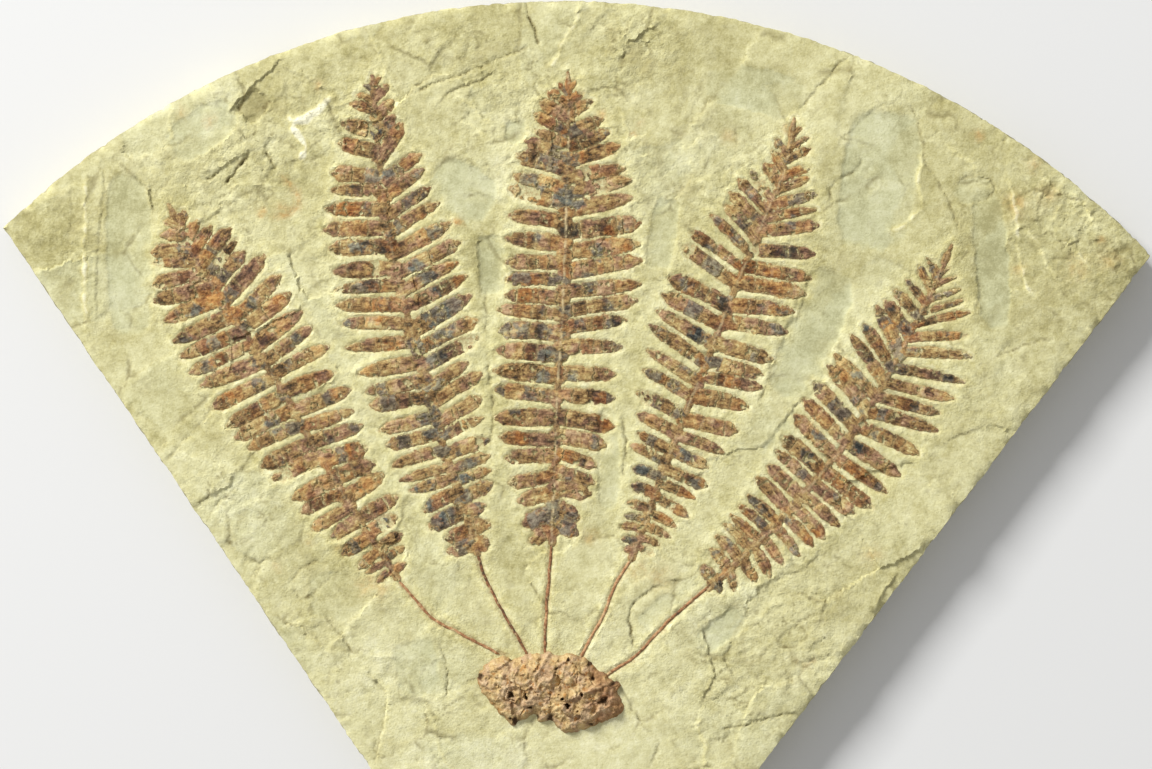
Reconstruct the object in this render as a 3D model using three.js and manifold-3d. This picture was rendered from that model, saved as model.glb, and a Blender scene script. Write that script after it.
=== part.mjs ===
// Fossil fern plate: a fan-shaped slab of pale limestone that lies face up, with five fern
// fronds, their stalks and the root crown that they grew from pressed onto its bedding plane.
// Millimetres, +Z up. The origin is under the middle of the slab, on its underside.
import * as THREE from "three";
import { mergeVertices } from "three/addons/utils/BufferGeometryUtils.js";
import Module from "manifold-3d";

const wasm = await Module();
wasm.setup();

// Driving dimensions of the slab.
const SLAB_THICKNESS = 18;
const SLAB_CHAMFER = 1.2;
const FOOT_LEFT = [-74.5, -160];
const FOOT_RIGHT = [63.8, -160];
const ARC_CENTRE = [-5.4, -162.4];
const ARC_RADIUS = 322.4;
const ARC_FROM = THREE.MathUtils.degToRad(43.1);
const ARC_TO = THREE.MathUtils.degToRad(134.15);
const ARC_STEPS = 24;

// Driving dimensions of the plant, as heights above the bedding plane and widths on it.
const LEAFLET_HEIGHT = 0.6;
const RACHIS_HEIGHT = 0.9;
const RACHIS_WIDTH_AT_FOOT = 2.2;
const RACHIS_WIDTH_AT_TIP = 0.9;
const STALK_HEIGHT = 0.9;
const STALK_WIDTH = 1.8;
const CROWN_HEIGHT = 7;

// A leaflet's widths, as shares of the room that its neighbours leave it.
const LEAFLET_ROOT_SHARE = 0.7;
const LEAFLET_BODY_SHARE = 0.66;
const LEAFLET_BODY_AT = 0.66;
const LEAFLET_ROOM_MOST = 8.4;
// Edges shorter than this are joined away where leaflets merge.
const SMALLEST_EDGE = 0.02;

// Shallow places where a layer of the stone has split away: depth, then corners in order.
const CLEAVAGE_STEPS = [
  { depth: 0.8, corners: [[-138.4, 116], [-129.6, 125.2], [-121.2, 118], [-128.8, 111.2]] },
  { depth: 1, corners: [[-188, 124], [-189.5, 97], [-196.5, 62], [-195.5, 30], [-190, 4], [-250, 60]] },
  {
    depth: 0.8,
    corners: [[-110, -111], [-80.4, -112.4], [-76, -118.4], [-78.8, -132], [-81, -146], [-81, -170], [-130, -170]],
  },
  { depth: 0.6, corners: [[150.4, 84], [154, 88.4], [162, 89.5], [167, 86], [165, 80], [157, 77.6]] },
  { depth: 1.2, corners: [[112, -91], [117.5, -78.5], [126, -73], [150, -75], [130, -110]] },
];

// Each frond stands on its foot and points to its tip. In its own frame x is across and y is
// along the frond. The midrib is a list of points [across, along], and a leaflet is
// [where it leaves the midrib, how far across its tip is, how far along its tip is].
const FRONDS = [
  {
    name: "far_left",
    foot: [-72, -71],
    tip: [-163.5, 78.5],
    midrib: [[0, 0], [-1, 30], [-1, 60], [0, 90], [-1, 120], [-3, 145], [-2, 160], [0, 175.2]],
    left: [
      [3.5, 7.5, 2.5], [8, 9.5, 8], [13, 11, 11], [20, 14, 19.5], [27.5, 14, 27], [34, 19, 34],
      [40, 19, 42], [47, 19, 48.5], [57, 21.5, 59.5], [64, 23, 66], [72, 24, 75], [79, 26, 81],
      [86, 26.5, 87], [94, 28, 96.5], [102, 27, 106.5], [110, 28.5, 113], [116, 28, 120.5],
      [124, 27, 127], [132, 26, 136], [138, 25, 145], [144, 22, 151], [150, 17, 158],
      [155, 16, 162], [161, 9, 166], [166, 5, 170],
    ],
    right: [
      [3, 6, 3], [8, 8.5, 9], [13, 10.5, 14], [21, 12, 21], [28, 17, 27.5], [38, 17, 38],
      [47, 16, 43.5], [56, 16.5, 50.5], [64, 20, 59], [71, 20, 66], [78, 23.5, 74], [87, 21.5, 83],
      [95, 25, 93], [101, 24, 103.5], [108.5, 23, 110.5], [117, 23, 119], [122.5, 23.5, 127.5],
      [130.5, 22, 137.5], [137, 16, 143], [142, 16.5, 149], [147, 16, 154], [153, 10, 159],
      [158, 6, 163], [164, 3.5, 169],
    ],
  },
  {
    name: "left",
    foot: [-40, -61],
    tip: [-82, 131],
    midrib: [[0, 0], [-2, 20], [-4, 45], [-5, 70], [-7, 95], [-7.5, 120], [-7, 140], [-5, 160], [-3, 175], [0, 196.5]],
    left: [
      [4, 10.5, 3], [10, 10.5, 8], [17, 16, 14], [25, 17, 21], [31, 21, 30], [36, 24, 34.5],
      [43, 26, 41], [50, 26, 49.5], [57, 27.5, 56], [65, 29, 66.5], [72, 30, 72], [79, 31, 80],
      [88, 34, 91], [95, 33.5, 101], [103, 34, 108.5], [111, 33, 114.5], [118, 32, 122],
      [127, 32, 131.5], [134, 32.5, 139], [142, 30, 147], [149.5, 26, 154], [155, 24, 160.5],
      [165, 19, 172], [173, 16, 179], [181, 11, 186], [185, 8, 189], [189, 4, 192],
    ],
    right: [
      [3, 3, 3], [10, 6, 10], [16, 7, 17.5], [22, 12, 26], [29, 12.5, 31], [34, 13, 37],
      [41, 14, 43], [48, 14, 52], [54, 15, 60], [62, 17, 69.5], [68, 12.5, 75], [77, 19, 84],
      [84, 20, 91], [92, 19.5, 101], [102, 19.5, 109], [108, 17.5, 115], [116, 20, 123],
      [124, 18, 131], [132, 15, 140], [139, 13, 146.5], [146, 12, 154.5], [152, 12, 160.5],
      [162, 7, 174], [172, 4.5, 177], [179, 5.5, 183.5], [186, 5, 190], [190, 3, 194],
    ],
  },
  {
    name: "middle",
    foot: [-10, -57],
    tip: [-3.5, 131],
    midrib: [[0, 0], [0, 60], [1, 90], [1.2, 125], [1, 160], [0, 188]],
    left: [
      [5, 8, 0.5], [12, 11, 7], [20, 14, 16], [27, 18, 23], [34.5, 20, 33], [41, 22.5, 41.5],
      [50, 24.5, 49], [58, 25, 60.5], [66.5, 25.5, 68], [75, 25, 76], [83.5, 24, 84], [91, 25, 92.5],
      [97.5, 22, 98], [105, 22, 104.5], [112, 22, 111.5], [119.5, 23, 121], [128, 22, 130],
      [135.5, 22, 141], [141, 21, 146], [149, 19, 154], [155, 16, 160], [159.5, 13, 164.5],
      [164, 13, 171], [170, 11, 176], [175, 8, 180], [179, 3.5, 183.5],
    ],
    right: [
      [8, 9.5, 4], [15, 10, 10], [22, 14.5, 20], [29, 16, 24.5], [36, 16.5, 31], [42.5, 20, 39.5],
      [50.5, 23, 47], [59, 23, 58.5], [68, 23, 68], [78, 25, 79], [85.5, 27, 90], [92.5, 30.5, 98],
      [100.5, 32, 104.5], [108, 32, 114], [116, 31, 120.5], [124.5, 31, 129], [133, 27, 139],
      [139.5, 27, 146], [146, 24, 150.5], [152, 21.5, 159.5], [158, 17, 165], [163.5, 14, 170],
      [171, 10, 177], [176, 6, 180.5], [180, 3, 184.5],
    ],
  },
  {
    name: "right",
    foot: [22, -63],
    tip: [87, 113],
    midrib: [[0, 0], [0, 60], [1, 90], [1.5, 120], [3, 150], [3.5, 165], [2, 178], [0, 187.6]],
    left: [
      [3, 4, 1.5], [7, 6.5, 5.5], [12, 8.5, 10], [16, 8.5, 14.5], [21, 9, 20], [27, 10, 27],
      [34, 12, 33.5], [40, 16, 42], [45, 15, 47.5], [52.5, 18, 54.5], [60, 21, 62.5], [68.5, 22, 72],
      [75, 23, 80], [83, 25.5, 89.5], [91, 25, 96], [99.5, 25, 103], [107.5, 25, 110],
      [117, 25, 124.5], [124, 24, 130.5], [130.5, 18, 139.5], [137, 14, 145], [143, 14, 150.5],
      [148.5, 12.5, 156.5], [153.5, 9, 161.5], [160, 5, 166], [166, 4, 172], [172, 4, 177],
    ],
    right: [
      [5, 7, 4], [9, 8, 8.5], [14, 11.5, 13], [19, 12, 17.5], [26, 15.5, 23], [32, 15, 31],
      [38, 18, 37], [46, 16, 44.5], [52, 20, 52], [59, 22, 62], [69, 23, 72.5], [77.5, 25, 81.5],
      [84, 24, 86.5], [92, 25, 93.5], [101, 27, 106], [108, 26.5, 114.5], [118, 28.5, 123],
      [125, 28.5, 129.5], [132, 26.5, 139], [140, 24, 150.5], [145.5, 21, 156], [151.5, 19, 162],
      [157.5, 14, 167], [163, 12.5, 170.5], [170, 10, 178], [175, 8, 182], [180, 4, 185],
    ],
  },
  {
    name: "far_right",
    foot: [53, -75],
    tip: [150, 62],
    midrib: [[0, 0], [3.5, 15], [6, 30], [8.5, 45], [10, 60], [11, 75], [11, 90], [10, 105], [8, 120], [6, 135], [3.5, 150], [0, 167.9]],
    left: [
      [3, 6.5, 5], [10, 8, 13], [16, 9.5, 18.5], [22, 10, 24], [27, 10, 28.5], [32, 9.5, 33.5],
      [37, 9, 39], [43, 10, 47], [51, 9.5, 53.5], [57.5, 10, 60], [64, 11, 66], [72, 12, 76],
      [79, 13, 83], [86, 13, 91], [94, 12.5, 100], [101, 13, 105], [107, 12, 115], [113.5, 10.5, 121.5],
      [120, 10.5, 130.5], [129, 9, 134], [136.5, 9, 140], [143, 7, 146], [148, 6, 153.5], [153, 5, 158],
    ],
    right: [
      [4, 4.5, 0.5], [10, 8.5, 5], [17, 14, 12.5], [23, 17.5, 17.5], [29, 18.5, 24.5], [35, 22, 31],
      [41, 24, 37.5], [46, 26, 42.5], [52, 28, 50], [58, 30, 57.5], [65, 34.5, 63.5], [72, 36, 72],
      [79, 36.5, 80.5], [87, 37.5, 92], [94, 38.5, 104], [101, 35, 110], [107.5, 36, 118],
      [114, 36, 126], [121, 32, 136], [127.5, 26, 142], [133, 21.5, 150], [138.5, 17, 153],
      [144, 13, 155.5], [149, 9, 158.5], [153.5, 4.5, 160],
    ],
  },
];

// Each stalk's route, from just below its frond down to just above the root crown.
const STALKS = {
  far_left: [[-71, -72.6], [-64, -80.6], [-57, -88], [-50, -91.6], [-41, -96.4], [-33.4, -100.2]],
  left: [[-39.7, -62.6], [-37.6, -69], [-33.3, -78], [-28, -87.6], [-24, -94.4], [-21, -99.6]],
  middle: [[-10.2, -58.4], [-11, -69], [-12, -80], [-12.6, -90], [-12.8, -99.2]],
  right: [[21.2, -64.6], [17, -71], [13.6, -78], [10.8, -85.6], [6.4, -93.6], [2.8, -100.6]],
  far_right: [[51.6, -75.6], [46, -80.2], [38, -87.2], [30, -95.4], [22.6, -103], [14, -108.6]],
};

// The root crown's edge, once round.
const CROWN_CENTRE = [-10.5, -117];
const CROWN_EDGE = [
  [-40.4, -112], [-38.4, -108], [-34, -103.6], [-26, -103.2], [-20, -101.6], [-12, -101], [-3, -101.6],
  [4, -103.6], [11.5, -110], [17.4, -113.8], [16.4, -117.2], [18.8, -123.4], [14.8, -127.4], [8, -129.6],
  [-1.6, -133.4], [-8, -131], [-13, -128.8], [-18, -126.4], [-24.8, -129.4], [-34, -121.6],
];
const CROWN_SIDES = 40;
// From the edge inwards: how far out each ring lies, and how high.
const CROWN_RINGS = [[1, 0], [0.94, 0.42], [0.82, 0.66], [0.62, 0.84], [0.36, 0.95]];

function solidFrom(geometry) {
  geometry.deleteAttribute("normal");
  geometry.deleteAttribute("uv");
  const merged = mergeVertices(geometry);
  return new wasm.Manifold(
    new wasm.Mesh({
      numProp: 3,
      vertProperties: merged.attributes.position.array,
      triVerts: new Uint32Array(merged.index.array),
    }),
  );
}

function geometryFrom(solid) {
  const mesh = solid.getMesh();
  const geometry = new THREE.BufferGeometry();
  geometry.setAttribute("position", new THREE.BufferAttribute(mesh.vertProperties, 3));
  geometry.setIndex(new THREE.BufferAttribute(mesh.triVerts, 1));
  geometry.computeVertexNormals();
  return geometry;
}

// A flat plate of a given outline, from z = low upwards.
function plate(outline, low, height) {
  const shape = new THREE.Shape(outline.map(([x, y]) => new THREE.Vector2(x, y)));
  const geometry = new THREE.ExtrudeGeometry(shape, { depth: height, bevelEnabled: false });
  geometry.translate(0, 0, low);
  return solidFrom(geometry);
}

// A low ridge along a smooth path on the bedding plane, flat below, with sloping flanks.
function ridge(points, widthAt, height, steps) {
  const crestShare = 0.5;
  const corners = [];
  const faces = [];
  const path = new THREE.CatmullRomCurve3(points.map(([x, y]) => new THREE.Vector3(x, y, 0)));
  for (let i = 0; i <= steps; i++) {
    const share = i / steps;
    const at = path.getPointAt(share);
    const along = path.getTangentAt(share);
    const half = widthAt(share) / 2;
    for (const [out, up] of [[1, 0], [crestShare, height], [-crestShare, height], [-1, 0]])
      corners.push(at.x + along.y * half * out, at.y - along.x * half * out, up);
  }
  for (let i = 0; i < steps; i++)
    for (let side = 0; side < 4; side++) {
      const a = 4 * i + side;
      const b = 4 * i + ((side + 1) % 4);
      faces.push(a, a + 4, b, b, a + 4, b + 4);
    }
  const last = 4 * steps;
  faces.push(0, 1, 2, 0, 2, 3, last, last + 2, last + 1, last, last + 3, last + 2);
  const geometry = new THREE.BufferGeometry();
  geometry.setAttribute("position", new THREE.Float32BufferAttribute(corners, 3));
  geometry.setIndex(faces);
  return solidFrom(geometry);
}

function slabSolid() {
  const shape = new THREE.Shape();
  shape.moveTo(...FOOT_LEFT);
  shape.lineTo(...FOOT_RIGHT);
  shape.absarc(...ARC_CENTRE, ARC_RADIUS, ARC_FROM, ARC_TO, false);
  shape.closePath();
  const geometry = new THREE.ExtrudeGeometry(shape, {
    depth: SLAB_THICKNESS - 2 * SLAB_CHAMFER,
    curveSegments: ARC_STEPS,
    bevelThickness: SLAB_CHAMFER,
    bevelSize: SLAB_CHAMFER,
    bevelOffset: -SLAB_CHAMFER,
    bevelSegments: 1,
  });
  geometry.translate(0, 0, SLAB_CHAMFER);
  const clearance = 5;
  return CLEAVAGE_STEPS.reduce(
    (solid, { depth, corners }) => solid.subtract(plate(corners, SLAB_THICKNESS - depth, depth + clearance)),
    solidFrom(geometry),
  );
}

// How far across the midrib is at a height along the frond.
function midribAt(midrib, along) {
  const next = Math.max(1, midrib.findIndex(([, y]) => y >= along));
  const [x0, y0] = midrib[next - 1];
  const [x1, y1] = midrib[next];
  return x0 + ((x1 - x0) * (along - y0)) / (y1 - y0);
}

function leafletOutline(frond, side, leaflets, index) {
  const [along, across, up] = leaflets[index];
  const first = Math.max(0, index - 1);
  const last = Math.min(leaflets.length - 1, index + 1);
  const spacing = (leaflets[last][0] - leaflets[first][0]) / (last - first);
  const root = new THREE.Vector2(midribAt(frond.midrib, along), along);
  const reach = new THREE.Vector2(side * across, up).sub(root);
  const length = reach.length();
  const forward = reach.clone().normalize();
  const aside = new THREE.Vector2(-forward.y, forward.x);
  const room = Math.min(LEAFLET_ROOM_MOST, spacing * Math.abs(forward.x));
  const corner = (share, width) =>
    root
      .clone()
      .addScaledVector(forward, share * length)
      .addScaledVector(aside, (width * room) / 2)
      .toArray();
  return [
    corner(0, -LEAFLET_ROOT_SHARE),
    corner(LEAFLET_BODY_AT, -LEAFLET_BODY_SHARE),
    corner(1, 0),
    corner(LEAFLET_BODY_AT, LEAFLET_BODY_SHARE),
    corner(0, LEAFLET_ROOT_SHARE),
  ];
}

function frondSolid(frond) {
  const taper = (share) => THREE.MathUtils.lerp(RACHIS_WIDTH_AT_FOOT, RACHIS_WIDTH_AT_TIP, share);
  const midribSteps = 9;
  const pieces = [ridge(frond.midrib, taper, RACHIS_HEIGHT, midribSteps)];
  for (const [side, leaflets] of [[-1, frond.left], [1, frond.right]])
    leaflets.forEach((_, index) => pieces.push(plate(leafletOutline(frond, side, leaflets, index), 0, LEAFLET_HEIGHT)));
  return wasm.Manifold.union(pieces).simplify(SMALLEST_EDGE);
}

// Small lumps all over the crown, between -1 and 1.
function lump(x, y) {
  return 0.6 * Math.sin(0.62 * x + 0.3 * y) * Math.cos(0.71 * y) + 0.4 * Math.sin(1.3 * x - 0.9 * y);
}

function crownGeometry() {
  const lumpHeight = 0.7;
  const edge = new THREE.CatmullRomCurve3(CROWN_EDGE.map(([x, y]) => new THREE.Vector3(x, y, 0)), true);
  const round = edge.getSpacedPoints(CROWN_SIDES).slice(0, CROWN_SIDES);
  const [cx, cy] = CROWN_CENTRE;
  const corners = [];
  const faces = [];
  for (const [out, up] of CROWN_RINGS)
    for (const { x, y } of round) {
      const px = cx + (x - cx) * out;
      const py = cy + (y - cy) * out;
      corners.push(px, py, up * (CROWN_HEIGHT - lumpHeight + lumpHeight * lump(px, py)));
    }
  corners.push(cx, cy, CROWN_HEIGHT, cx, cy, 0);
  const top = CROWN_RINGS.length * CROWN_SIDES;
  const bottom = top + 1;
  for (let side = 0; side < CROWN_SIDES; side++) {
    const next = (side + 1) % CROWN_SIDES;
    for (let ring = 0; ring < CROWN_RINGS.length - 1; ring++) {
      const a = ring * CROWN_SIDES;
      const b = a + CROWN_SIDES;
      faces.push(a + side, b + side, a + next, a + next, b + side, b + next);
    }
    const inner = top - CROWN_SIDES;
    faces.push(inner + side, top, inner + next, side, next, bottom);
  }
  const geometry = new THREE.BufferGeometry();
  geometry.setAttribute("position", new THREE.Float32BufferAttribute(corners, 3));
  geometry.setIndex(faces);
  geometry.computeVertexNormals();
  return geometry;
}

const limestone = new THREE.MeshStandardMaterial({ color: 0xcec695, roughness: 0.92, metalness: 0 });
const leafFilm = new THREE.MeshStandardMaterial({ color: 0x7a4f38, roughness: 0.8, metalness: 0 });
const stalkFilm = new THREE.MeshStandardMaterial({ color: 0xa0623f, roughness: 0.8, metalness: 0 });
const crownStone = new THREE.MeshStandardMaterial({ color: 0xa68463, roughness: 0.9, metalness: 0 });

function piece(name, geometry, material) {
  const mesh = new THREE.Mesh(geometry, material);
  mesh.name = name;
  return mesh;
}

const fossil = new THREE.Group();
fossil.add(piece("slab", geometryFrom(slabSolid()), limestone));

const plant = new THREE.Group();
plant.position.z = SLAB_THICKNESS;
fossil.add(plant);

for (const frond of FRONDS) {
  const mesh = piece(`frond_${frond.name}`, geometryFrom(frondSolid(frond)), leafFilm);
  mesh.position.set(...frond.foot, 0);
  mesh.rotation.z = Math.atan2(frond.foot[0] - frond.tip[0], frond.tip[1] - frond.foot[1]);
  plant.add(mesh);
}

for (const [name, route] of Object.entries(STALKS)) {
  const stalkSteps = 9;
  const solid = ridge(route, () => STALK_WIDTH, STALK_HEIGHT, stalkSteps);
  plant.add(piece(`stalk_${name}`, geometryFrom(solid), stalkFilm));
}

plant.add(piece("root_crown", crownGeometry(), crownStone));

const box = new THREE.Box3().setFromObject(fossil);
fossil.position.set(-(box.min.x + box.max.x) / 2, -(box.min.y + box.max.y) / 2, 0);

export default fossil;
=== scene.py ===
"""Fossil fern plate: a fan of pale split limestone, with five pressed fronds, their stalks and a
root crown. Sizes and places are in millimetres, in the directions of the frame."""

import math

import bpy
import numpy as np
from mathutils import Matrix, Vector
from mathutils.geometry import delaunay_2d_cdt


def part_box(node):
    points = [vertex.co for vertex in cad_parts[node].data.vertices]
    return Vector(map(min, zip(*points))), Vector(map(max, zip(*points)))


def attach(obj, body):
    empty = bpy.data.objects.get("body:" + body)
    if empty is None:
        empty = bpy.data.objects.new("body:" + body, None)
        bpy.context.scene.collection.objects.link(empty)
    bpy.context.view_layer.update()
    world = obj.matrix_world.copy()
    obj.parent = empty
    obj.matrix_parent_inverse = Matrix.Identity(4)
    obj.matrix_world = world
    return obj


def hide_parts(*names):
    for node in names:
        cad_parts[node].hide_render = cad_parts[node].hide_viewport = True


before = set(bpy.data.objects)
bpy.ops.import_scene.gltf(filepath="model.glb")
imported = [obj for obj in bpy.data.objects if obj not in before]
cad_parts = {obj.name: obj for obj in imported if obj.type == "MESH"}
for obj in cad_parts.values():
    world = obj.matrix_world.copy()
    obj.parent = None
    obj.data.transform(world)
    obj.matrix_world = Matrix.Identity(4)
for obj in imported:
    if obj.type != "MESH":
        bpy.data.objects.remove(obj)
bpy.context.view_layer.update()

MM = 0.001
# The height of the slab's face, and how far the root crown rises above it.
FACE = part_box("slab")[1].z / MM
ROOT_LOW, ROOT_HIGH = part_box("root_crown")
CROWN_RISE = (ROOT_HIGH.z - ROOT_LOW.z) / MM

# The slab's outline: its two bottom corners, and the arc along the top from right to left.
FOOT_LEFT = (-74.5, -160)
FOOT_RIGHT = (63.8, -160)
ARC_CENTRE = (-5.4, -162.4)
ARC_RADIUS = 322.4
ARC_FROM = math.radians(43.1)
ARC_TO = math.radians(134.15)

# Each frond stands on its foot and points to its tip. fill is the share of their room that its
# leaflets take up, foot_fill and tip_fill are what is added to it near the foot and the tip,
# tip_slim is how far the leaflets near the tip keep to a slim shape, and rib_pale is how pale the
# midrib is. In the frond's own frame a midrib point is (across, along), and a leaflet is (where it
# leaves the midrib, how far across its tip is, how far along its tip is).
FRONDS = {
    "frond_far_left": {
        "fill": 1.0,
        "foot_fill": -0.08,
        "rib_pale": 0.3,
        "tip_fill": 0.32,
        "tip_slim": 0.0,
        "foot": (-72, -71),
        "tip": (-163.5, 78.5),
        "midrib": [(0, 0), (-1, 30), (-1, 60), (0, 90), (-1, 120), (-3, 145), (-2, 160), (0, 175.2)],
        "left": [
            (3.5, 7.5, 2.5), (8, 9.5, 8), (13, 11, 11), (20, 14, 19.5), (27.5, 14, 27), (34, 19, 34),
            (40, 19, 42), (47, 19, 48.5), (57, 21.5, 59.5), (64, 23, 66), (72, 24, 75), (79, 26, 81),
            (86, 26.5, 87), (94, 28, 96.5), (102, 27, 106.5), (110, 28.5, 113), (116, 28, 120.5),
            (124, 27, 127), (132, 26, 136), (138, 25, 145), (144, 22, 151), (150, 17, 158),
            (155, 16, 162), (161, 9, 166), (166, 5, 170),
        ],
        "right": [
            (3, 6, 3), (8, 8.5, 9), (13, 10.5, 14), (21, 12, 21), (28, 17, 27.5), (38, 17, 38),
            (47, 16, 43.5), (56, 16.5, 50.5), (64, 20, 59), (71, 20, 66), (78, 23.5, 74),
            (87, 21.5, 83), (95, 25, 93), (101, 24, 103.5), (108.5, 23, 110.5), (117, 23, 119),
            (122.5, 23.5, 127.5), (130.5, 22, 137.5), (137, 16, 143), (142, 16.5, 149), (147, 16, 154),
            (153, 10, 159), (158, 6, 163), (164, 3.5, 169),
        ],
    },
    "frond_left": {
        "fill": 0.96,
        "foot_fill": 0.4,
        "rib_pale": 0.25,
        "tip_fill": 0.15,
        "tip_slim": 0.2,
        "foot": (-40, -61),
        "tip": (-82, 131),
        "midrib": [
            (0, 0), (-2, 20), (-4, 45), (-5, 70), (-7, 95), (-7.5, 120), (-7, 140), (-5, 160), (-3, 175),
            (0, 196.5),
        ],
        "left": [
            (4, 10.5, 3), (10, 10.5, 8), (17, 16, 14), (25, 17, 21), (31, 21, 30), (36, 24, 34.5),
            (43, 26, 41), (50, 26, 49.5), (57, 27.5, 56), (65, 29, 66.5), (72, 30, 72), (79, 31, 80),
            (88, 34, 91), (95, 33.5, 101), (103, 34, 108.5), (111, 33, 114.5), (118, 32, 122),
            (127, 32, 131.5), (134, 32.5, 139), (142, 30, 147), (149.5, 26, 154), (155, 24, 160.5),
            (165, 19, 172), (173, 16, 179), (181, 11, 186), (185, 8, 189), (189, 4, 192),
        ],
        "right": [
            (3, 3, 3), (10, 6, 10), (16, 7, 17.5), (22, 12, 26), (29, 12.5, 31), (34, 13, 37),
            (41, 14, 43), (48, 14, 52), (54, 15, 60), (62, 17, 69.5), (68, 12.5, 75), (77, 19, 84),
            (84, 20, 91), (92, 19.5, 101), (102, 19.5, 109), (108, 17.5, 115), (116, 20, 123),
            (124, 18, 131), (132, 15, 140), (139, 13, 146.5), (146, 12, 154.5), (152, 12, 160.5),
            (162, 7, 174), (172, 4.5, 177), (179, 5.5, 183.5), (186, 5, 190), (190, 3, 194),
        ],
    },
    "frond_middle": {
        "fill": 1.0,
        "foot_fill": 0.25,
        "rib_pale": 1.0,
        "tip_fill": 0.3,
        "tip_slim": 0.25,
        "foot": (-10, -57),
        "tip": (-3.5, 131),
        "midrib": [(0, 0), (0, 60), (1, 90), (1.2, 125), (1, 160), (0, 188)],
        "left": [
            (5, 8, 0.5), (12, 11, 7), (20, 14, 16), (27, 18, 23), (34.5, 20, 33), (41, 22.5, 41.5),
            (50, 24.5, 49), (58, 25, 60.5), (66.5, 25.5, 68), (75, 25, 76), (83.5, 24, 84),
            (91, 25, 92.5), (97.5, 22, 98), (105, 22, 104.5), (112, 22, 111.5), (119.5, 23, 121),
            (128, 22, 130), (135.5, 22, 141), (141, 21, 146), (149, 19, 154), (155, 16, 160),
            (159.5, 13, 164.5), (164, 13, 171), (170, 11, 176), (175, 8, 180), (179, 3.5, 183.5),
        ],
        "right": [
            (8, 9.5, 4), (15, 10, 10), (22, 14.5, 20), (29, 16, 24.5), (36, 16.5, 31), (42.5, 20, 39.5),
            (50.5, 23, 47), (59, 23, 58.5), (68, 23, 68), (78, 25, 79), (85.5, 27, 90),
            (92.5, 30.5, 98), (100.5, 32, 104.5), (108, 32, 114), (116, 31, 120.5), (124.5, 31, 129),
            (133, 27, 139), (139.5, 27, 146), (146, 24, 150.5), (152, 21.5, 159.5), (158, 17, 165),
            (163.5, 14, 170), (171, 10, 177), (176, 6, 180.5), (180, 3, 184.5),
        ],
    },
    "frond_right": {
        "fill": 0.88,
        "foot_fill": 0.0,
        "rib_pale": 0.6,
        "tip_fill": 0.2,
        "tip_slim": 0.2,
        "foot": (22, -63),
        "tip": (87, 113),
        "midrib": [(0, 0), (0, 60), (1, 90), (1.5, 120), (3, 150), (3.5, 165), (2, 178), (0, 187.6)],
        "left": [
            (3, 4, 1.5), (7, 6.5, 5.5), (12, 8.5, 10), (16, 8.5, 14.5), (21, 9, 20), (27, 10, 27),
            (34, 12, 33.5), (40, 16, 42), (45, 15, 47.5), (52.5, 18, 54.5), (60, 21, 62.5),
            (68.5, 22, 72), (75, 23, 80), (83, 25.5, 89.5), (91, 25, 96), (99.5, 25, 103),
            (107.5, 25, 110), (117, 25, 124.5), (124, 24, 130.5), (130.5, 18, 139.5), (137, 14, 145),
            (143, 14, 150.5), (148.5, 12.5, 156.5), (153.5, 9, 161.5), (160, 5, 166), (166, 4, 172),
            (172, 4, 177),
        ],
        "right": [
            (5, 7, 4), (9, 8, 8.5), (14, 11.5, 13), (19, 12, 17.5), (26, 15.5, 23), (32, 15, 31),
            (38, 18, 37), (46, 16, 44.5), (52, 20, 52), (59, 22, 62), (69, 23, 72.5), (77.5, 25, 81.5),
            (84, 24, 86.5), (92, 25, 93.5), (101, 27, 106), (108, 26.5, 114.5), (118, 28.5, 123),
            (125, 28.5, 129.5), (132, 26.5, 139), (140, 24, 150.5), (145.5, 21, 156), (151.5, 19, 162),
            (157.5, 14, 167), (163, 12.5, 170.5), (170, 10, 178), (175, 8, 182), (180, 4, 185),
        ],
    },
    "frond_far_right": {
        "fill": 1.0,
        "foot_fill": 0.0,
        "rib_pale": 0.55,
        "tip_fill": -0.05,
        "tip_slim": 0.7,
        "foot": (53, -75),
        "tip": (150, 62),
        "midrib": [
            (0, 0), (3.5, 15), (6, 30), (8.5, 45), (10, 60), (11, 75), (11, 90), (10, 105), (8, 120),
            (6, 135), (3.5, 150), (0, 167.9),
        ],
        "left": [
            (3, 6.5, 5), (10, 8, 13), (16, 9.5, 18.5), (22, 10, 24), (27, 10, 28.5), (32, 9.5, 33.5),
            (37, 9, 39), (43, 10, 47), (51, 9.5, 53.5), (57.5, 10, 60), (64, 11, 66), (72, 12, 76),
            (79, 13, 83), (86, 13, 91), (94, 12.5, 100), (101, 13, 105), (107, 12, 115),
            (113.5, 10.5, 121.5), (120, 10.5, 130.5), (129, 9, 134), (136.5, 9, 140), (143, 7, 146),
            (148, 6, 153.5), (153, 5, 158),
        ],
        "right": [
            (4, 4.5, 0.5), (10, 8.5, 5), (17, 14, 12.5), (23, 17.5, 17.5), (29, 18.5, 24.5),
            (35, 22, 31), (41, 24, 37.5), (46, 26, 42.5), (52, 28, 50), (58, 30, 57.5),
            (65, 34.5, 63.5), (72, 36, 72), (79, 36.5, 80.5), (87, 37.5, 92), (94, 38.5, 104),
            (101, 35, 110), (107.5, 36, 118), (114, 36, 126), (121, 32, 136), (127.5, 26, 142),
            (133, 21.5, 150), (138.5, 17, 153), (144, 13, 155.5), (149, 9, 158.5), (153.5, 4.5, 160),
        ],
    },
}

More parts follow.
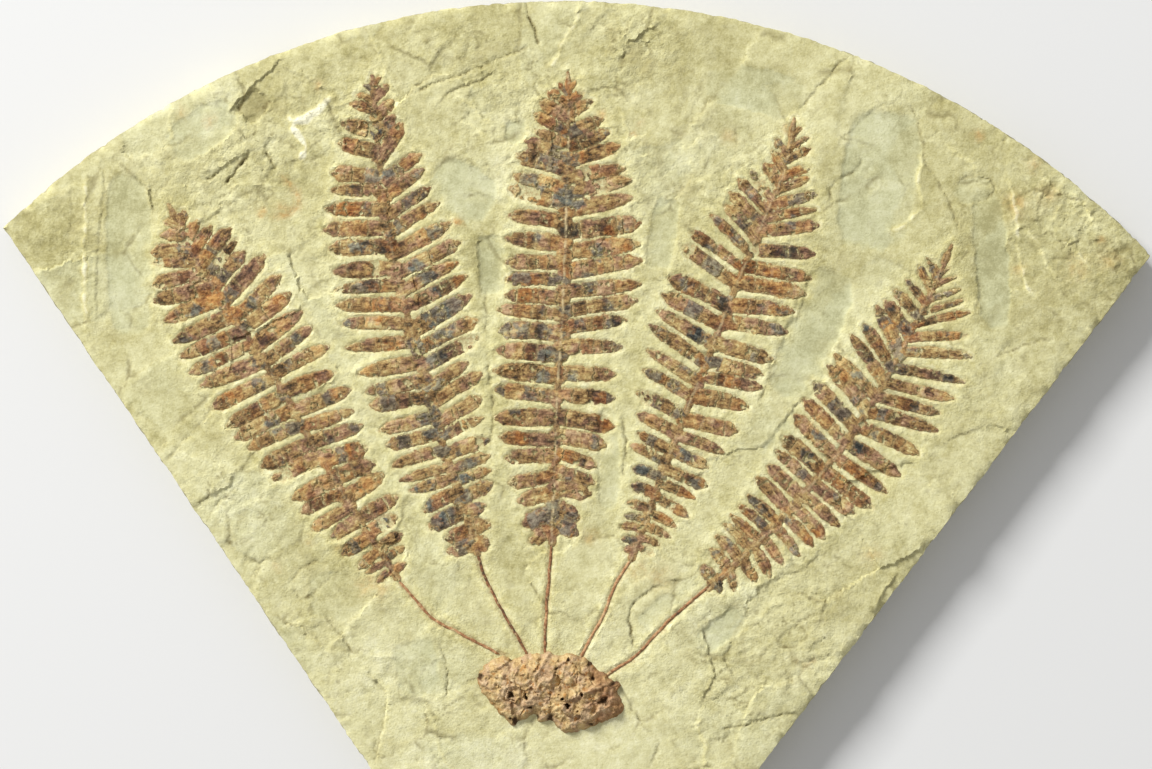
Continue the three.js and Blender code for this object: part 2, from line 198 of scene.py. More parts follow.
# Each stalk's route, from its frond down to the root crown.
STALKS = {
    "stalk_far_left": [
        (-71, -72.6), (-64, -80.6), (-57, -88),
        (-50, -91.6), (-41, -96.4), (-32.4, -100.8),
    ],
    "stalk_left": [
        (-39.7, -61.6), (-37.6, -69), (-33.3, -78),
        (-28, -87.6), (-24, -94.4), (-20.4, -100.8),
    ],
    "stalk_middle": [(-10.2, -57.4), (-11, -69), (-12, -80), (-12.6, -90), (-12.8, -100.6)],
    "stalk_right": [
        (21.6, -63.8), (17, -71), (13.6, -78),
        (10.8, -85.6), (6.4, -93.6), (2.2, -101.6),
    ],
    "stalk_far_right": [
        (53.4, -73.8), (46, -80.2), (38, -87.2),
        (30, -95.4), (22.6, -103), (12.6, -109.4),
    ],
}

# How much paler (above 0) or darker than the others each stalk is.
STALK_TONES = (0.3, -0.7, -0.1, 0.6, 0.1)

# The root crown's outline.
CROWN_EDGE = [
    (-40.4, -112), (-38.4, -108), (-34, -103.6), (-30.4, -102.6), (-26, -103.4), (-20, -101.6),
    (-12, -101), (-6, -102), (-3, -101.4), (4, -103.6), (6.8, -106), (11.5, -110), (17.4, -113.8),
    (16.4, -117.2), (19, -123.2), (14.8, -127.4), (8, -129.6), (-1.6, -133.4), (-7, -132),
    (-10, -128.6), (-15, -128.8), (-18, -125.8), (-24.8, -129.8), (-29, -127.4), (-34, -121.6),
    (-38, -116.6),
]
# Deep pits in the crown: place and radius.
CROWN_PITS = [
    (-25, -128.2, 2), (-10.4, -126.6, 1.8), (5.2, -105.2, 1.6), (-26.4, -118, 1.3), (-20.4, -118, 1.2),
    (-3.8, -122, 1.1), (-7.6, -107.4, 1.1), (-6, -119, 0.8), (10.6, -120.4, 1.8), (15, -113.4, 1.6),
    (-38.6, -110.6, 1.4), (-16, -126.6, 1), (5.6, -129.4, 0.9), (-3.4, -104, 1), (-26.2, -104, 0.9),
    (1.6, -117.6, 0.8), (6.6, -110.8, 0.9), (-18.6, -123, 1), (16.8, -112.6, 0.9),
]

# Roots that stand out on the crown as raised cords.
CROWN_CORDS = [
    [(-35, -103.4), (-28.6, -107.6), (-23.4, -111.6), (-19.8, -116.8)],
    [(-31, -105), (-26.6, -110.6), (-23, -116), (-22, -121)],
    [(-1, -102.6), (-7.6, -107.6), (-14, -112.8), (-18, -118)],
    [(-22, -102), (-19.6, -107), (-16.6, -111), (-16.6, -116)],
    [(-12.8, -101), (-14, -107), (-17.6, -112)],
    [(14, -111.4), (7, -114.8), (0.6, -117.6), (-5, -118)],
    [(17, -117), (11, -121.6), (6, -125.6), (-1, -130)],
    [(-38.8, -112), (-33, -115.6), (-28, -121.6), (-25.6, -127)],
]

# Cracks, steps and ridges in the stone's face: kind, strength, and the path through given
# points. A step's lower side is on the left of its path.
LINES = [
    ("step", 1.0, [(-117, 138), (-122, 132), (-130, 125.2), (-138.6, 116), (-135.6, 112.4)]),
    ("crack", 0.7, [(-130, 125.2), (-125, 122), (-121, 118)]),
    ("step", 0.5, [(-95, 123.6), (-103, 125.4), (-108, 129), (-112.6, 130.6), (-119.6, 135)]),
    (
        "ridge", 2.9,
        [
            (-97, 124), (-101.6, 117.6), (-107, 113), (-113.4, 110), (-110, 104), (-108.2, 100.4),
            (-112.4, 93),
        ],
    ),
    ("ridge", 2.2, [(-106, 114.6), (-111.6, 112), (-117, 113.4)]),
    ("ridge", 0.8, [(-160, 118.6), (-163.4, 112), (-162, 106), (-165, 101)]),
    ("crack", 1.8, [(-130.6, 98.6), (-134, 95), (-137, 91), (-141.6, 86)]),
    ("crack", 1.4, [(-141.6, 93), (-144.6, 90.4), (-148.4, 87.6)]),
    ("crack", 1.1, [(-134.4, 105), (-133.6, 102.6)]),
    ("step", 0.5, [(-142.8, 80), (-143, 76), (-147.6, 72.4), (-153, 69.6)]),
    ("crack", 1.7, [(-125.6, 99.4), (-122.6, 96), (-120.4, 91.6)]),
    ("stain", 0.8, [(-119.6, 90.6), (-114, 85), (-111.6, 79.6), (-116, 74.6), (-124.8, 73)]),
    ("crack", 0.8, [(-187, 98), (-180, 92), (-174, 86.4), (-169.8, 81), (-169.6, 74)]),
    ("crack", 0.5, [(-169.6, 81.4), (-166, 85), (-161.6, 88.6)]),
    ("ridge", 1.8, [(-197, 93), (-196.4, 76), (-197, 58), (-196.6, 40), (-196.4, 24)]),
    ("step", 0.5, [(-190.6, 99), (-189.8, 88), (-190.6, 74), (-192, 58), (-192.4, 40), (-191.6, 28)]),
    ("crack", 0.3, [(-203.4, 96), (-202, 84), (-203, 66), (-203.6, 48)]),
    ("crack", 0.3, [(-193.4, 28), (-180, 28.6), (-164, 28.8)]),
    ("crack", 0.7, [(-166.4, -27), (-158, -17.6), (-148, -7), (-144.6, -3)]),
    ("crack", 0.8, [(-149, -48.4), (-142, -40), (-132, -31.6)]),
    ("crack", 0.7, [(-131, -72), (-126.4, -65), (-119, -57.4), (-116, -54)]),
    ("crack", 0.9, [(-108.6, -83), (-113.4, -76), (-112.6, -70.6), (-106.6, -65.6), (-97.6, -64.6)]),
    ("crack", 1.0, [(-101, -86), (-97, -91.6), (-91.6, -98.6), (-91, -104)]),
    ("crack", 1.5, [(-55.8, -95.4), (-53, -102), (-52, -110), (-52.4, -117), (-55.2, -119.4)]),
    ("crack", 0.35, [(-52.6, -117.2), (-46, -114.6), (-40.6, -111.4)]),
    ("step", 0.9, [(-80.8, -148), (-78.6, -134), (-76, -119.4), (-79, -113.4), (-86, -109.4)]),
    ("crack", 0.6, [(-58.6, -140), (-56.6, -143), (-54, -146)]),
    ("crack", 0.6, [(-80.8, -135), (-80.6, -141), (-78.2, -143.6)]),
    ("crack", 1.35, [(-68, 121.4), (-56, 126.6), (-45, 130.6), (-34.4, 135), (-24, 139.4), (-16, 142)]),
    ("crack", 1.1, [(-34.6, 130.6), (-39, 127.6), (-44, 125.6), (-51, 123), (-57, 117)]),
    ("crack", 1.4, [(-15.4, 141), (-16.6, 148), (-19, 153), (-20.4, 161)]),
    ("step", 0.5, [(-20.4, 160), (-19, 153), (-16.6, 147), (-15.4, 141)]),
    ("crack", 1.2, [(-38.4, 93), (-32, 93.8), (-28.6, 95.4), (-26, 98)]),
    ("ridge", 1.5, [(1.4, 160), (-0.6, 151), (-5, 144), (-8.4, 136), (-14, 131)]),
    ("ridge", 1.2, [(-50, 121.6), (-42, 118), (-38, 112), (-33, 109.6)]),
    ("ridge", 1.2, [(-47, 112), (-40.6, 109), (-36, 104)]),
    ("ridge", 1.3, [(14.6, 120), (18, 114), (20.6, 107), (19.6, 100)]),
    ("ridge", 0.9, [(-84, 150), (-80, 140), (-75, 128), (-70, 117)]),
    ("crack", 0.7, [(22, 150), (26, 145), (30, 138), (33, 133)]),
    ("crack", 0.6, [(28, 153), (31.4, 149), (35, 142)]),
    ("crack", 0.5, [(30, 76), (35, 78.4), (40.4, 81), (42, 87)]),
    ("crack", 0.35, [(61.4, 95), (62.2, 88.4), (58, 84.6), (53.6, 83)]),
    ("crack", 0.8, [(109.4, 137), (105, 134.6), (101.4, 130.6), (97, 126), (91, 118), (86, 112.6)]),
    ("step", 0.35, [(130, 129), (128.6, 121.4), (120, 117.4), (110.6, 109), (104, 102.4), (102.6, 95)]),
    ("crack", 0.9, [(111.6, 99), (113.4, 95.6), (110.6, 90.6), (104.6, 88.4), (101.4, 84), (101, 78)]),
    (
        "ridge", 1.5,
        [(135.6, 101), (138, 95), (136.4, 88.6), (138.6, 80), (135, 73.6), (129, 69), (122, 67)],
    ),
    (
        "crack", 0.8,
        [(128.8, 121), (136, 112.8), (138.6, 97), (143.6, 88.6), (149.4, 78), (151.6, 71), (152.8, 63)],
    ),
    ("crack", 0.9, [(150.6, 87), (157, 89.4), (164, 88.4), (166.6, 84), (162.4, 79.6), (156, 78)]),
    ("crack", 0.9, [(172.4, 106), (170.6, 103.4)]),
    ("crack", 0.6, [(177.6, 96.4), (180, 95.4), (184.4, 98)]),
    ("step", 0.35, [(166, 87), (171, 82), (174.8, 71), (175.4, 60), (175, 48)]),
    ("ridge", 1.6, [(172, 92), (174.4, 82), (176, 70), (176.6, 58), (180, 46), (186, 38)]),
    ("ridge", 1.2, [(196, 84), (201, 79), (206, 72), (209, 66)]),
    ("ridge", 0.7, [(186, 66), (191, 73), (195, 80)]),
    ("crack", 0.7, [(173.8, 65.6), (173, 62), (171.4, 59)]),
    ("crack", 0.5, [(203.4, 67), (200, 63), (195.4, 61)]),
    ("ridge", 0.5, [(196, 75), (193, 70), (191, 66)]),
    ("ridge", 1.2, [(186, 92), (190, 85), (197, 80), (201, 73)]),
    ("ridge", 1.3, [(179, 69), (185, 62), (188, 54), (194, 47)]),
    ("ridge", 1.3, [(193, 64), (199, 60), (206, 52)]),
    ("step", 0.5, [(208, 78), (202, 70), (200, 62), (204, 54)]),
    ("step", 0.5, [(192, 90), (186, 82), (184, 74), (186, 66)]),
    ("ridge", 0.9, [(146, 104), (152, 98), (157, 96), (160, 90)]),
    ("crack", 0.5, [(158.6, 53), (161, 46.6), (161.2, 41), (158.6, 35)]),
    ("crack", 1.0, [(-36.2, 21), (-35.2, 10), (-33.8, 0), (-33.8, -10), (-34.8, -20.6)]),
    ("crack", 0.8, [(-37, 46), (-36, 36), (-36.6, 26)]),
    ("crack", 1.2, [(18, -6), (18.8, -13), (19.6, -17.6), (18.8, -24), (18.2, -31)]),
    ("step", 0.5, [(93.2, 51), (91.4, 44), (89.4, 36), (86.6, 30)]),
    ("crack", 0.7, [(78.4, 18), (77.2, 10), (74.4, 2), (72, -1)]),
    ("crack", 0.5, [(90.6, 1), (86, -4.6), (82.4, -9), (80.4, -15)]),
    ("crack", 0.4, [(58, -25), (61.4, -21.4), (67.4, -20)]),
    (
        "crack", 1.3,
        [(37, -74.6), (31, -75.2), (27, -77.6), (22.6, -82), (20.8, -88), (21.8, -95), (23.6, -101)],
    ),
    ("crack", 0.6, [(38.6, -72.6), (43, -73.6), (49, -71)]),
    ("step", 1.1, [(49.4, -89), (50.6, -94), (53, -102), (54.6, -110), (52, -117), (48.4, -122)]),
    ("crack", 1.0, [(56, -132), (66, -130.2), (72, -128.8), (80, -126.4), (90, -124.4), (95, -123)]),
    ("step", 0.5, [(95, -123), (90, -124.4), (80, -126.4), (72, -128.8), (66, -130.2), (56, -132)]),
    ("crack", 0.4, [(78, -102), (80, -106), (82.4, -108.8)]),
    ("step", 0.9, [(129, -68), (124.6, -74.6), (121.6, -79), (119, -85)]),
    ("crack", 0.6, [(24, -128), (29.6, -133.6), (33, -137), (30, -143), (27.6, -149)]),
    ("crack", 0.4, [(48.6, -141.6), (46.4, -144), (43.4, -147)]),
    ("ridge", 1.2, [(50, -124), (48.4, -132), (51.6, -139), (50, -150)]),
    ("step", 0.6, [(97.6, -58), (92.6, -66), (84, -69.4), (75.6, -73), (69, -77.6)]),
    ("ridge", 0.5, [(62, -97), (68, -91), (74, -86), (79, -80)]),
    ("ridge", 0.5, [(113, -53), (114.6, -59), (117.6, -64)]),
    ("crack", 0.35, [(-41, -65), (-43, -71), (-42.4, -76)]),
    ("ridge", 0.8, [(-58.6, -121), (-56.6, -132), (-54.6, -140), (-49, -150)]),
    ("crack", 0.6, [(-84, -108), (-80.6, -112), (-77, -117.6)]),
    ("ridge", 0.8, [(-118, -91), (-109, -88.6), (-103, -85)]),
]

# Smooth hollows where the top layer split off cleanly: centre, half width, half length, turn
# in degrees, depth.
SCARS = [
    (-34, 54, 5.6, 11.5, 6, 0.5), (34.6, 66, 5.4, 14, -8, 0.5), (94, 26, 10.5, 27, -20, 0.45),
    (121, 88, 15, 27, -8, 0.4), (-46, 84, 13, 10, -30, 0.35), (166, 56, 6.4, 27, 4, 0.4),
    (12.6, -24, 4.2, 20, 2, 0.35), (-179, 58, 9, 32, 2, 0.3), (-129.5, 117.6, 6.1, 5.4, 46, 0.95),
    (-64, -107, 8.5, 11, 10, 0.2), (158.6, 84, 7, 5, 10, 0.4), (34, -86, 9, 6, 40, 0.3),
    (72, 124, 20, 9, -14, 0.25), (-150, 108, 14, 8, 35, 0.25), (58, -92, 10, 5, 40, 0.3),
    (-24.6, 107, 4, 4.6, 0, 0.4), (86, -12, 5, 16, -38, 0.3), (-96, -78, 11, 9, 0, 0.25),
]

# Broad parts of the face that are paler (above 0) or darker: centre, radius and tone. The dark one at
# (-128, 118) is painted shade in the deep hollow there.
TONE_AREAS = [
    (0, -150, 46, 1.3), (-60, -138, 40, 0.7), (-95, -105, 30, 0.7), (60, -125, 34, 0.2),
    (200, 62, 34, -1.1), (22, 142, 26, -0.7), (60, 128, 30, -0.8), (30, 118, 26, 0.4),
    (-200, 70, 22, -0.5), (-34, 55, 16, -2.4), (34, 66, 14, -0.6), (95, 26, 18, -0.8),
    (-110, 128, 30, -1), (-104, 108, 10, 0.8), (-128, 118, 9, -1.8), (-45, 85, 16, -0.8),
    (100, 140, 26, 0.3), (13, -22, 10, -0.7), (-36, 5, 12, -0.7), (128, 60, 14, -0.4),
    (165, 100, 22, -0.1), (-160, 105, 24, 0.2), (-216, 66, 14, -1), (218, 58, 16, -1.2),
    (150, -10, 30, 0.2), (-170, 10, 30, 0.1), (88, 120, 16, 0.5), (-100, 30, 12, 0.3),
    (60, -85, 24, 0.3), (-62, -100, 22, -0.2), (160, 62, 16, -0.4), (22, -120, 14, 0.3),
    (-48, -118, 12, 0.5), (-132, -60, 26, 0.1), (-14, 148, 14, -0.3), (-60, 140, 20, 0.1),
]
# Parts of the face that are rougher (above 0) or smoother: centre, radius and roughness.
ROUGH_AREAS = [
    (22, 142, 18, 1.3), (-128, 98, 22, 0.9), (-100, 118, 14, 0.8), (-150, 90, 20, 0.6),
    (204, 62, 26, 0.75), (190, 84, 12, 0.4), (50, 84, 16, 0.6), (60, -110, 30, 0.4), (90, -82, 24, 0.6),
    (-98, -70, 20, 0.1), (-60, -120, 22, 0.3), (-136, -40, 16, 0.7), (-20, 120, 14, 0.7),
    (-40, 132, 20, 0.7), (64, 136, 24, -0.5), (121, 88, 18, -0.8), (0, -148, 22, -0.3),
    (160, -8, 20, 0.3), (70, 100, 12, 0.5), (-200, 60, 14, 0.4), (94, -110, 12, 0.4),
    (150, 66, 12, 0.4), (-85, 112, 12, 0.7), (26, 96, 12, 0.6), (-178, 56, 14, -0.6),
    (-160, 118, 14, -0.2),
]

# Iron stains on the bare stone: centre, radius and strength.
IRON_SPOTS = [
    (160.5, 106, 1.8, 0.9), (176, 78, 5, 0.5), (183, 94, 3, 0.4), (209.6, 64, 1.6, 0.9),
    (188, 82, 4, 0.4), (-48.4, 71.6, 1.8, 1), (-54.6, 66.6, 2.2, 0.6), (-126, 75, 2, 0.6),
    (-119, 77, 2.2, 0.5), (-147, 112, 2.4, 0.5), (-158, 115, 2, 0.5), (-103.6, 126, 2, 0.6),
    (61, 105, 2.6, 0.6), (84, 109, 2, 0.5), (10, 114, 2, 0.6), (25, 110, 1.4, 0.6), (5, -54, 3.6, 0.5),
    (24, -68, 4, 0.4), (33, -71, 5, 0.35), (-84, -74, 4, 0.5), (-78, -76, 4, 0.4), (-95, -59, 2, 0.3),
    (-98, 72, 2, 0.5), (94, -104.6, 1.2, 0.6), (91.6, -106.6, 1.6, 0.5), (87, -104, 1.4, 0.4),
    (118, -62, 4, 0.3), (200, 53, 5, 0.3), (213, 56, 4, 0.35), (22, 106, 1.2, 0.6), (177, 52, 3, 0.3),
    (-134, 95, 1.5, 0.4), (-120, -67, 1.6, 0.6), (-107, -56, 2, 0.3),
]

# Slate-grey and rust-coloured patches on the films: centre, radius and, where it isn't 1, strength.
SLATE_SPOTS = [
    (-4.6, 82, 3.6, 1.5), (-0.6, 79.6, 3, 1.6), (-15, 84.6, 3), (-16, 65.6, 3), (8.6, 58.4, 3.4),
    (-14, 18, 3.6), (-13.6, 9.4, 4), (-2, 9.4, 3), (12.6, 37, 3.4), (14, 29.6, 3.6), (4, 48, 4.6),
    (-25, -4, 3), (-59, 48, 5), (-56, 36, 5), (-54, 29, 6), (-56, 17.6, 6), (-64, 53, 4), (-60, -5, 6),
    (-58, -12, 5), (-62, -40, 5), (-52, -45, 4), (-76, 91, 3.4), (-88, 61.6, 3), (-81, 108, 3),
    (-93, 30, 3.4), (-43, -25, 4), (-45, -31, 4), (-78, -49, 2.6), (-130, 38.6, 3), (-152, 36, 3.4),
    (-112, 24, 4), (-121, -10, 4), (-157, 23.6, 3), (-74.4, -63, 2), (43, 46.6, 3.4), (48, 24, 4.4),
    (46, 14, 4), (53, 61, 3), (58, 40, 3), (85, 59, 3.6), (80, 28, 3), (47, -34, 3.4), (31, -24, 2.6),
    (44, -22, 4), (26, -28, 3), (92, -22, 3.6), (148, 8.6, 3.6), (113, -19.6, 2.6), (115, 29, 3),
    (61.6, -56.6, 2.4), (96, 45.6, 2.4), (97, -14, 3), (57, -75, 2.6), (20, -56, 2.4), (70, -41, 3),
    (-35, -17, 3), (-40, 50, 2.4), (86, 71, 3.4), (141, 52, 3), (-32, 65, 2.6), (126, 36, 2),
]
RUST_SPOTS = [
    (-3.6, 127, 6, 1.6), (12, 67, 3.4), (0, 98, 3.6), (-16, 79, 4), (-4, 105, 4), (-4, 52, 4),
    (-20, 45, 7), (-22, -15, 4), (55, 69, 4), (60, 63.6, 4), (66, 52, 6), (80, 47, 6), (82, 38, 5),
    (61, 8, 4.6), (50, 10, 3), (45, -38, 4), (64, -44, 3.6), (150, 25.6, 3), (134, 27, 5),
    (112, -30, 6), (104, -33, 4), (94, -54, 4), (128, 22, 5), (58, -69, 3), (152, 34, 4), (-148, 40, 7),
    (-136, 36, 5), (-144, 16, 4), (-94, -19, 4), (-100, -26, 4), (-96, 3, 4), (-84, -34, 4),
    (-140, 2, 3), (-74, 63, 4), (-80, 45, 4), (-80, 36, 6), (-49, 54.6, 4), (-47, 48, 3.6),
    (-93, 76, 5), (-60, 72, 4), (-72, 20, 4), (-86, 12, 3.4), (-120, 42, 3), (-48, 71, 2), (86, 92, 3),
    (91, 90, 2), (79, 95, 3), (-1, -53.6, 3), (-150, 60, 6), (124, 30, 4), (106, 10, 3), (20, 60, 3),
    (38, -46, 5), (-5, -24, 4), (12, -8, 5), (10, 0, 4),
]


class Noise:
    """Smooth seeded noise over the plate, roughly between -1 and 1."""

    CELLS = 256
    GAIN = 1.5
    LAYER_SHIFT = (17.3, -9.1)

    def __init__(self, seed):
        turns = np.random.default_rng(seed).uniform(0, 2 * math.pi, (self.CELLS, self.CELLS))
        self.east = np.cos(turns)
        self.north = np.sin(turns)

    def plain(self, x, y, size):
        x, y = np.asarray(x, float) / size, np.asarray(y, float) / size
        column, row = np.floor(x).astype(int), np.floor(y).astype(int)
        fx, fy = x - column, y - row
        ease_x, ease_y = (f * f * f * (f * (f * 6 - 15) + 10) for f in (fx, fy))

        def corner(i, j):
            at = (row + j) % self.CELLS, (column + i) % self.CELLS
            return self.east[at] * (fx - i) + self.north[at] * (fy - j)

        low = corner(0, 0) + ease_x * (corner(1, 0) - corner(0, 0))
        high = corner(0, 1) + ease_x * (corner(1, 1) - corner(0, 1))
        return self.GAIN * (low + ease_y * (high - low))

    def layered(self, x, y, size, layers, keep=0.5):
        """Noise with finer and finer layers on top, each weaker by the share kept."""
        total, weight = 0.0, 1.0
        shift_x, shift_y = self.LAYER_SHIFT
        for layer in range(layers):
            moved_x, moved_y = x + shift_x * layer, y + shift_y * layer
            total = total + weight * self.plain(moved_x, moved_y, size / 2**layer)
            weight *= keep
        return total


class Facets:
    """Broken stone: flat patches with angular edges, each tilted its own way."""

    CELLS = 64

    def __init__(self, seed, tilt):
        rng = np.random.default_rng(seed)
        self.place = rng.uniform(0.1, 0.9, (2, self.CELLS, self.CELLS))
        self.slope = rng.normal(0, tilt, (2, self.CELLS, self.CELLS))
        self.level = rng.normal(0, 1, (self.CELLS, self.CELLS))

    def read(self, x, y, size, step):
        """Height, how far the nearest edge between patches is, and each patch's own level."""
        column, row = np.floor(x / size).astype(int), np.floor(y / size).astype(int)
        height = np.zeros(x.shape)
        nearest, second, own = np.full(x.shape, np.inf), np.full(x.shape, np.inf), np.zeros(x.shape)
        for i in (-1, 0, 1):
            for j in (-1, 0, 1):
                at = (row + j) % self.CELLS, (column + i) % self.CELLS
                dx = x - (column + i + self.place[0][at]) * size
                dy = y - (row + j + self.place[1][at]) * size
                away = np.hypot(dx, dy)
                tilted = step * self.level[at] + self.slope[0][at] * dx + self.slope[1][at] * dy
                nearer = away < nearest
                second = np.where(nearer, nearest, np.minimum(second, away))
                height = np.where(nearer, tilted, height)
                own = np.where(nearer, self.level[at], own)
                nearest = np.where(nearer, away, nearest)
        return height, (second - nearest) / 2, own


def smoothstep(low, high, value):
    """0 at low, 1 at high and smooth in between, whichever of the two is greater."""
    share = np.clip((value - low) / (high - low), 0, 1)
    return share * share * (3 - 2 * share)


def smooth_path(points, step, closed=False):
    """Points about a step apart on a smooth curve through given ones."""
    points = np.array(points, float)
    if closed:
        padded = np.vstack([points[-1], points, points[:2]])
    else:
        padded = np.vstack([2 * points[0] - points[1], points, 2 * points[-1] - points[-2]])
    made = []
    for a, b, c, d in zip(padded, padded[1:], padded[2:], padded[3:]):
        count = max(2, int(np.linalg.norm(c - b) / step))
        t = np.arange(count)[:, None] / count
        square, cube = 2 * a - 5 * b + 4 * c - d, 3 * b - a - 3 * c + d
        made.append(0.5 * (2 * b + (c - a) * t + square * t**2 + cube * t**3))
    path = np.vstack(made)
    return path if closed else np.vstack([path, points[-1]])


def to_path(x, y, path):
    """Distance to a path, the side that a point is on (1 is left), and the share along the path."""
    best = np.full(x.shape, np.inf)
    side, share = np.zeros(x.shape), np.zeros(x.shape)
    last = len(path) - 1
    for i in range(last):
        (ax, ay), (bx, by) = path[i], path[i + 1]
        ex, ey = bx - ax, by - ay
        t = np.clip(((x - ax) * ex + (y - ay) * ey) / (ex * ex + ey * ey + 1e-12), 0, 1)
        away = np.hypot(x - ax - t * ex, y - ay - t * ey)
        nearer = away < best
        best = np.where(nearer, away, best)
        side = np.where(nearer, np.sign(ex * (y - ay) - ey * (x - ax)), side)
        share = np.where(nearer, (i + t) / last, share)
    return best, side, share


def inside(x, y, outline):
    """Whether each point is inside a closed outline."""
    odd = np.zeros(x.shape, bool)
    for (ax, ay), (bx, by) in zip(outline, np.roll(outline, -1, axis=0)):
        if ay != by:
            odd ^= ((ay > y) != (by > y)) & (x < (bx - ax) * (y - ay) / (by - ay) + ax)
    return odd


# The distance given for any point that is a long way off.
FAR = 60.0


class Frond:
    """A frond's outline as a distance field: its leaflets and its midrib."""

    # How far out from its midrib a frond goes, and how far round it distances are worked out.
    WIDEST = 40
    REACH = 12
    NEAR = 8
    # The midrib's half width from its foot to its tip.
    RIB_HALF = (1.5, 1.3, 0.9, 1.6, 0.4)
    # The most of the midrib that one leaflet takes, and its least half width.
    ROOM_MOST = 8.4
    LEAST_HALF = 1.1
    # A leaflet's width from its root to its tip: places and shares of the full width.
    WIDTH_AT = (0, 0.1, 0.3, 0.64, 0.86, 1)
    WIDTH_SHARE = (0.77, 0.78, 0.82, 0.8, 0.64, 0.16)
    # A slim leaflet's half width: a least one, and a share of its length.
    SLIM_BASE = 0.6
    SLIM_SHARE = 0.14
    # Where the tip part and the foot part set in and are full, as shares of the frond's length.
    TIP_PART = (0.6, 0.85)
    FOOT_PART = (0.14, 0.05)
    # Cracks cut a leaflet into blocks. The chances that a crack is open and that a block is lost.
    BLOCKS = 12
    OPEN_CHANCE = 0.6
    LOST_CHANCE = 0.02

    def __init__(self, name, parts, seed):
        self.name = name
        self.seed = seed
        rng = np.random.default_rng(seed)
        self.foot = np.array(parts["foot"], float)
        reach = np.array(parts["tip"], float) - self.foot
        self.length = float(np.hypot(*reach))
        self.up = reach / self.length
        self.out = np.array([self.up[1], -self.up[0]])
        self.parts = parts
        self.midrib = np.array(parts["midrib"], float)
        self.leaflets = []
        for sign, side in ((-1, "left"), (1, "right")):
            self.add_side(sign, parts[side], rng)

    def fill_at(self, share):
        """How much of their room the leaflets take up at a share of the frond's length."""
        tip_fill = self.parts["tip_fill"] * smoothstep(*self.TIP_PART, share)
        foot_fill = self.parts["foot_fill"] * smoothstep(*self.FOOT_PART, share)
        return self.parts["fill"] + tip_fill + foot_fill

    def add_side(self, sign, leaflets, rng):
        """Works out each leaflet of one side, with the cracks and the blocks along it."""
        roots = [leaflet[0] for leaflet in leaflets]
        blocks = self.BLOCKS + 1
        for index, (along, across, up) in enumerate(leaflets):
            first, last = max(0, index - 1), min(len(leaflets) - 1, index + 1)
            root = np.array([self.midrib_at(along), along])
            reach = np.array([sign * across, up]) - root
            length = float(np.hypot(*reach))
            forward = reach / length
            room = (roots[last] - roots[first]) / (last - first) * abs(forward[0])
            most = min(self.ROOM_MOST, room * self.fill_at(along / self.length))
            half = 0.5 * most * rng.uniform(0.9, 1.08)
            slim = min(half, self.SLIM_BASE + self.SLIM_SHARE * length)
            to_tip = smoothstep(*self.TIP_PART, along / self.length)
            half += self.parts["tip_slim"] * to_tip * (slim - half)
            self.leaflets.append(
                {
                    "root": root,
                    "forward": forward,
                    "length": length,
                    "half": max(self.LEAST_HALF, half),
                    "full": rng.uniform(-0.08, 0.2),
                    "bow": sign * rng.uniform(-0.2, 0.7),
                    "cracks": np.cumsum(rng.uniform(2.2, 8, self.BLOCKS)),
                    "crack_widths": rng.uniform(0.1, 0.55, self.BLOCKS)
                    * (rng.uniform(0, 1, self.BLOCKS) < self.OPEN_CHANCE),
                    "tone": rng.uniform(-0.5, 0.5) + rng.normal(0, 0.75, blocks),
                    "hue": rng.uniform(0, 1, blocks),
                    "wear": rng.uniform(0, 0.45, blocks) ** 1.5,
                    "shrink": rng.uniform(-0.25, 0.3, blocks),
                    "loss": np.where(rng.uniform(0, 1, blocks) < self.LOST_CHANCE, 0.8, 0.0),
                }
            )

    def midrib_at(self, along):
        """How far aside the midrib is at a place along the frond."""
        return np.interp(along, self.midrib[:, 1], self.midrib[:, 0])

    def local(self, x, y):
        """Points on the plate in the frond's own frame: across and along."""
        dx, dy = x - self.foot[0], y - self.foot[1]
        return dx * self.out[0] + dy * self.out[1], dx * self.up[0] + dy * self.up[1]

    def world(self, across, along):
        """Points of the frond's own frame on the plate."""
        return (
            self.foot[0] + across * self.out[0] + along * self.up[0],
            self.foot[1] + across * self.out[1] + along * self.up[1],
        )

    def read(self, across, along):
        """For points in the frond's own frame: distance outside the nearest edge, which leaflet
        that is (-1 is the midrib), how far out along it, and how far across it from -1 to 1."""
        middle = self.midrib_at(along)
        end = self.length
        half = np.interp(along, (0, end / 2, end - 13, end - 5, end), self.RIB_HALF)
        beyond = np.maximum(0, np.maximum(-along, along - self.length))
        gap = np.hypot(across - middle, beyond) - half
        leaf = np.full(across.shape, -1)
        reach = np.zeros(across.shape)
        aside = np.clip((across - middle) / half, -1, 1)
        for index, leaflet in enumerate(self.leaflets):
            (rx, ry), (fx, fy) = leaflet["root"], leaflet["forward"]
            length, half = leaflet["length"], leaflet["half"]
            off_middle = np.hypot(across - rx - fx * length / 2, along - ry - fy * length / 2)
            near = np.flatnonzero(off_middle < length / 2 + self.NEAR)
            dx, dy = across[near] - rx, along[near] - ry
            out = dx * fx + dy * fy
            share = np.clip(out / length, 0, 1)
            off = dy * fx - dx * fy - leaflet["bow"] * 4 * share * (1 - share)
            held = np.clip(out, 0, length - half * self.WIDTH_SHARE[-1])
            width = half * np.interp(held / length, self.WIDTH_AT, self.WIDTH_SHARE)
            outer = held / length
            width += half * leaflet["full"] * smoothstep(0.5, 0.86, outer) * smoothstep(1, 0.88, outer)
            away = np.hypot(out - held, off) - width
            nearer = away < gap[near]
            chosen = near[nearer]
            gap[chosen] = away[nearer]
            leaf[chosen] = index
            reach[chosen] = out[nearer]
            aside[chosen] = np.clip(off[nearer] / width[nearer], -1, 1)
        return gap, leaf, reach, aside

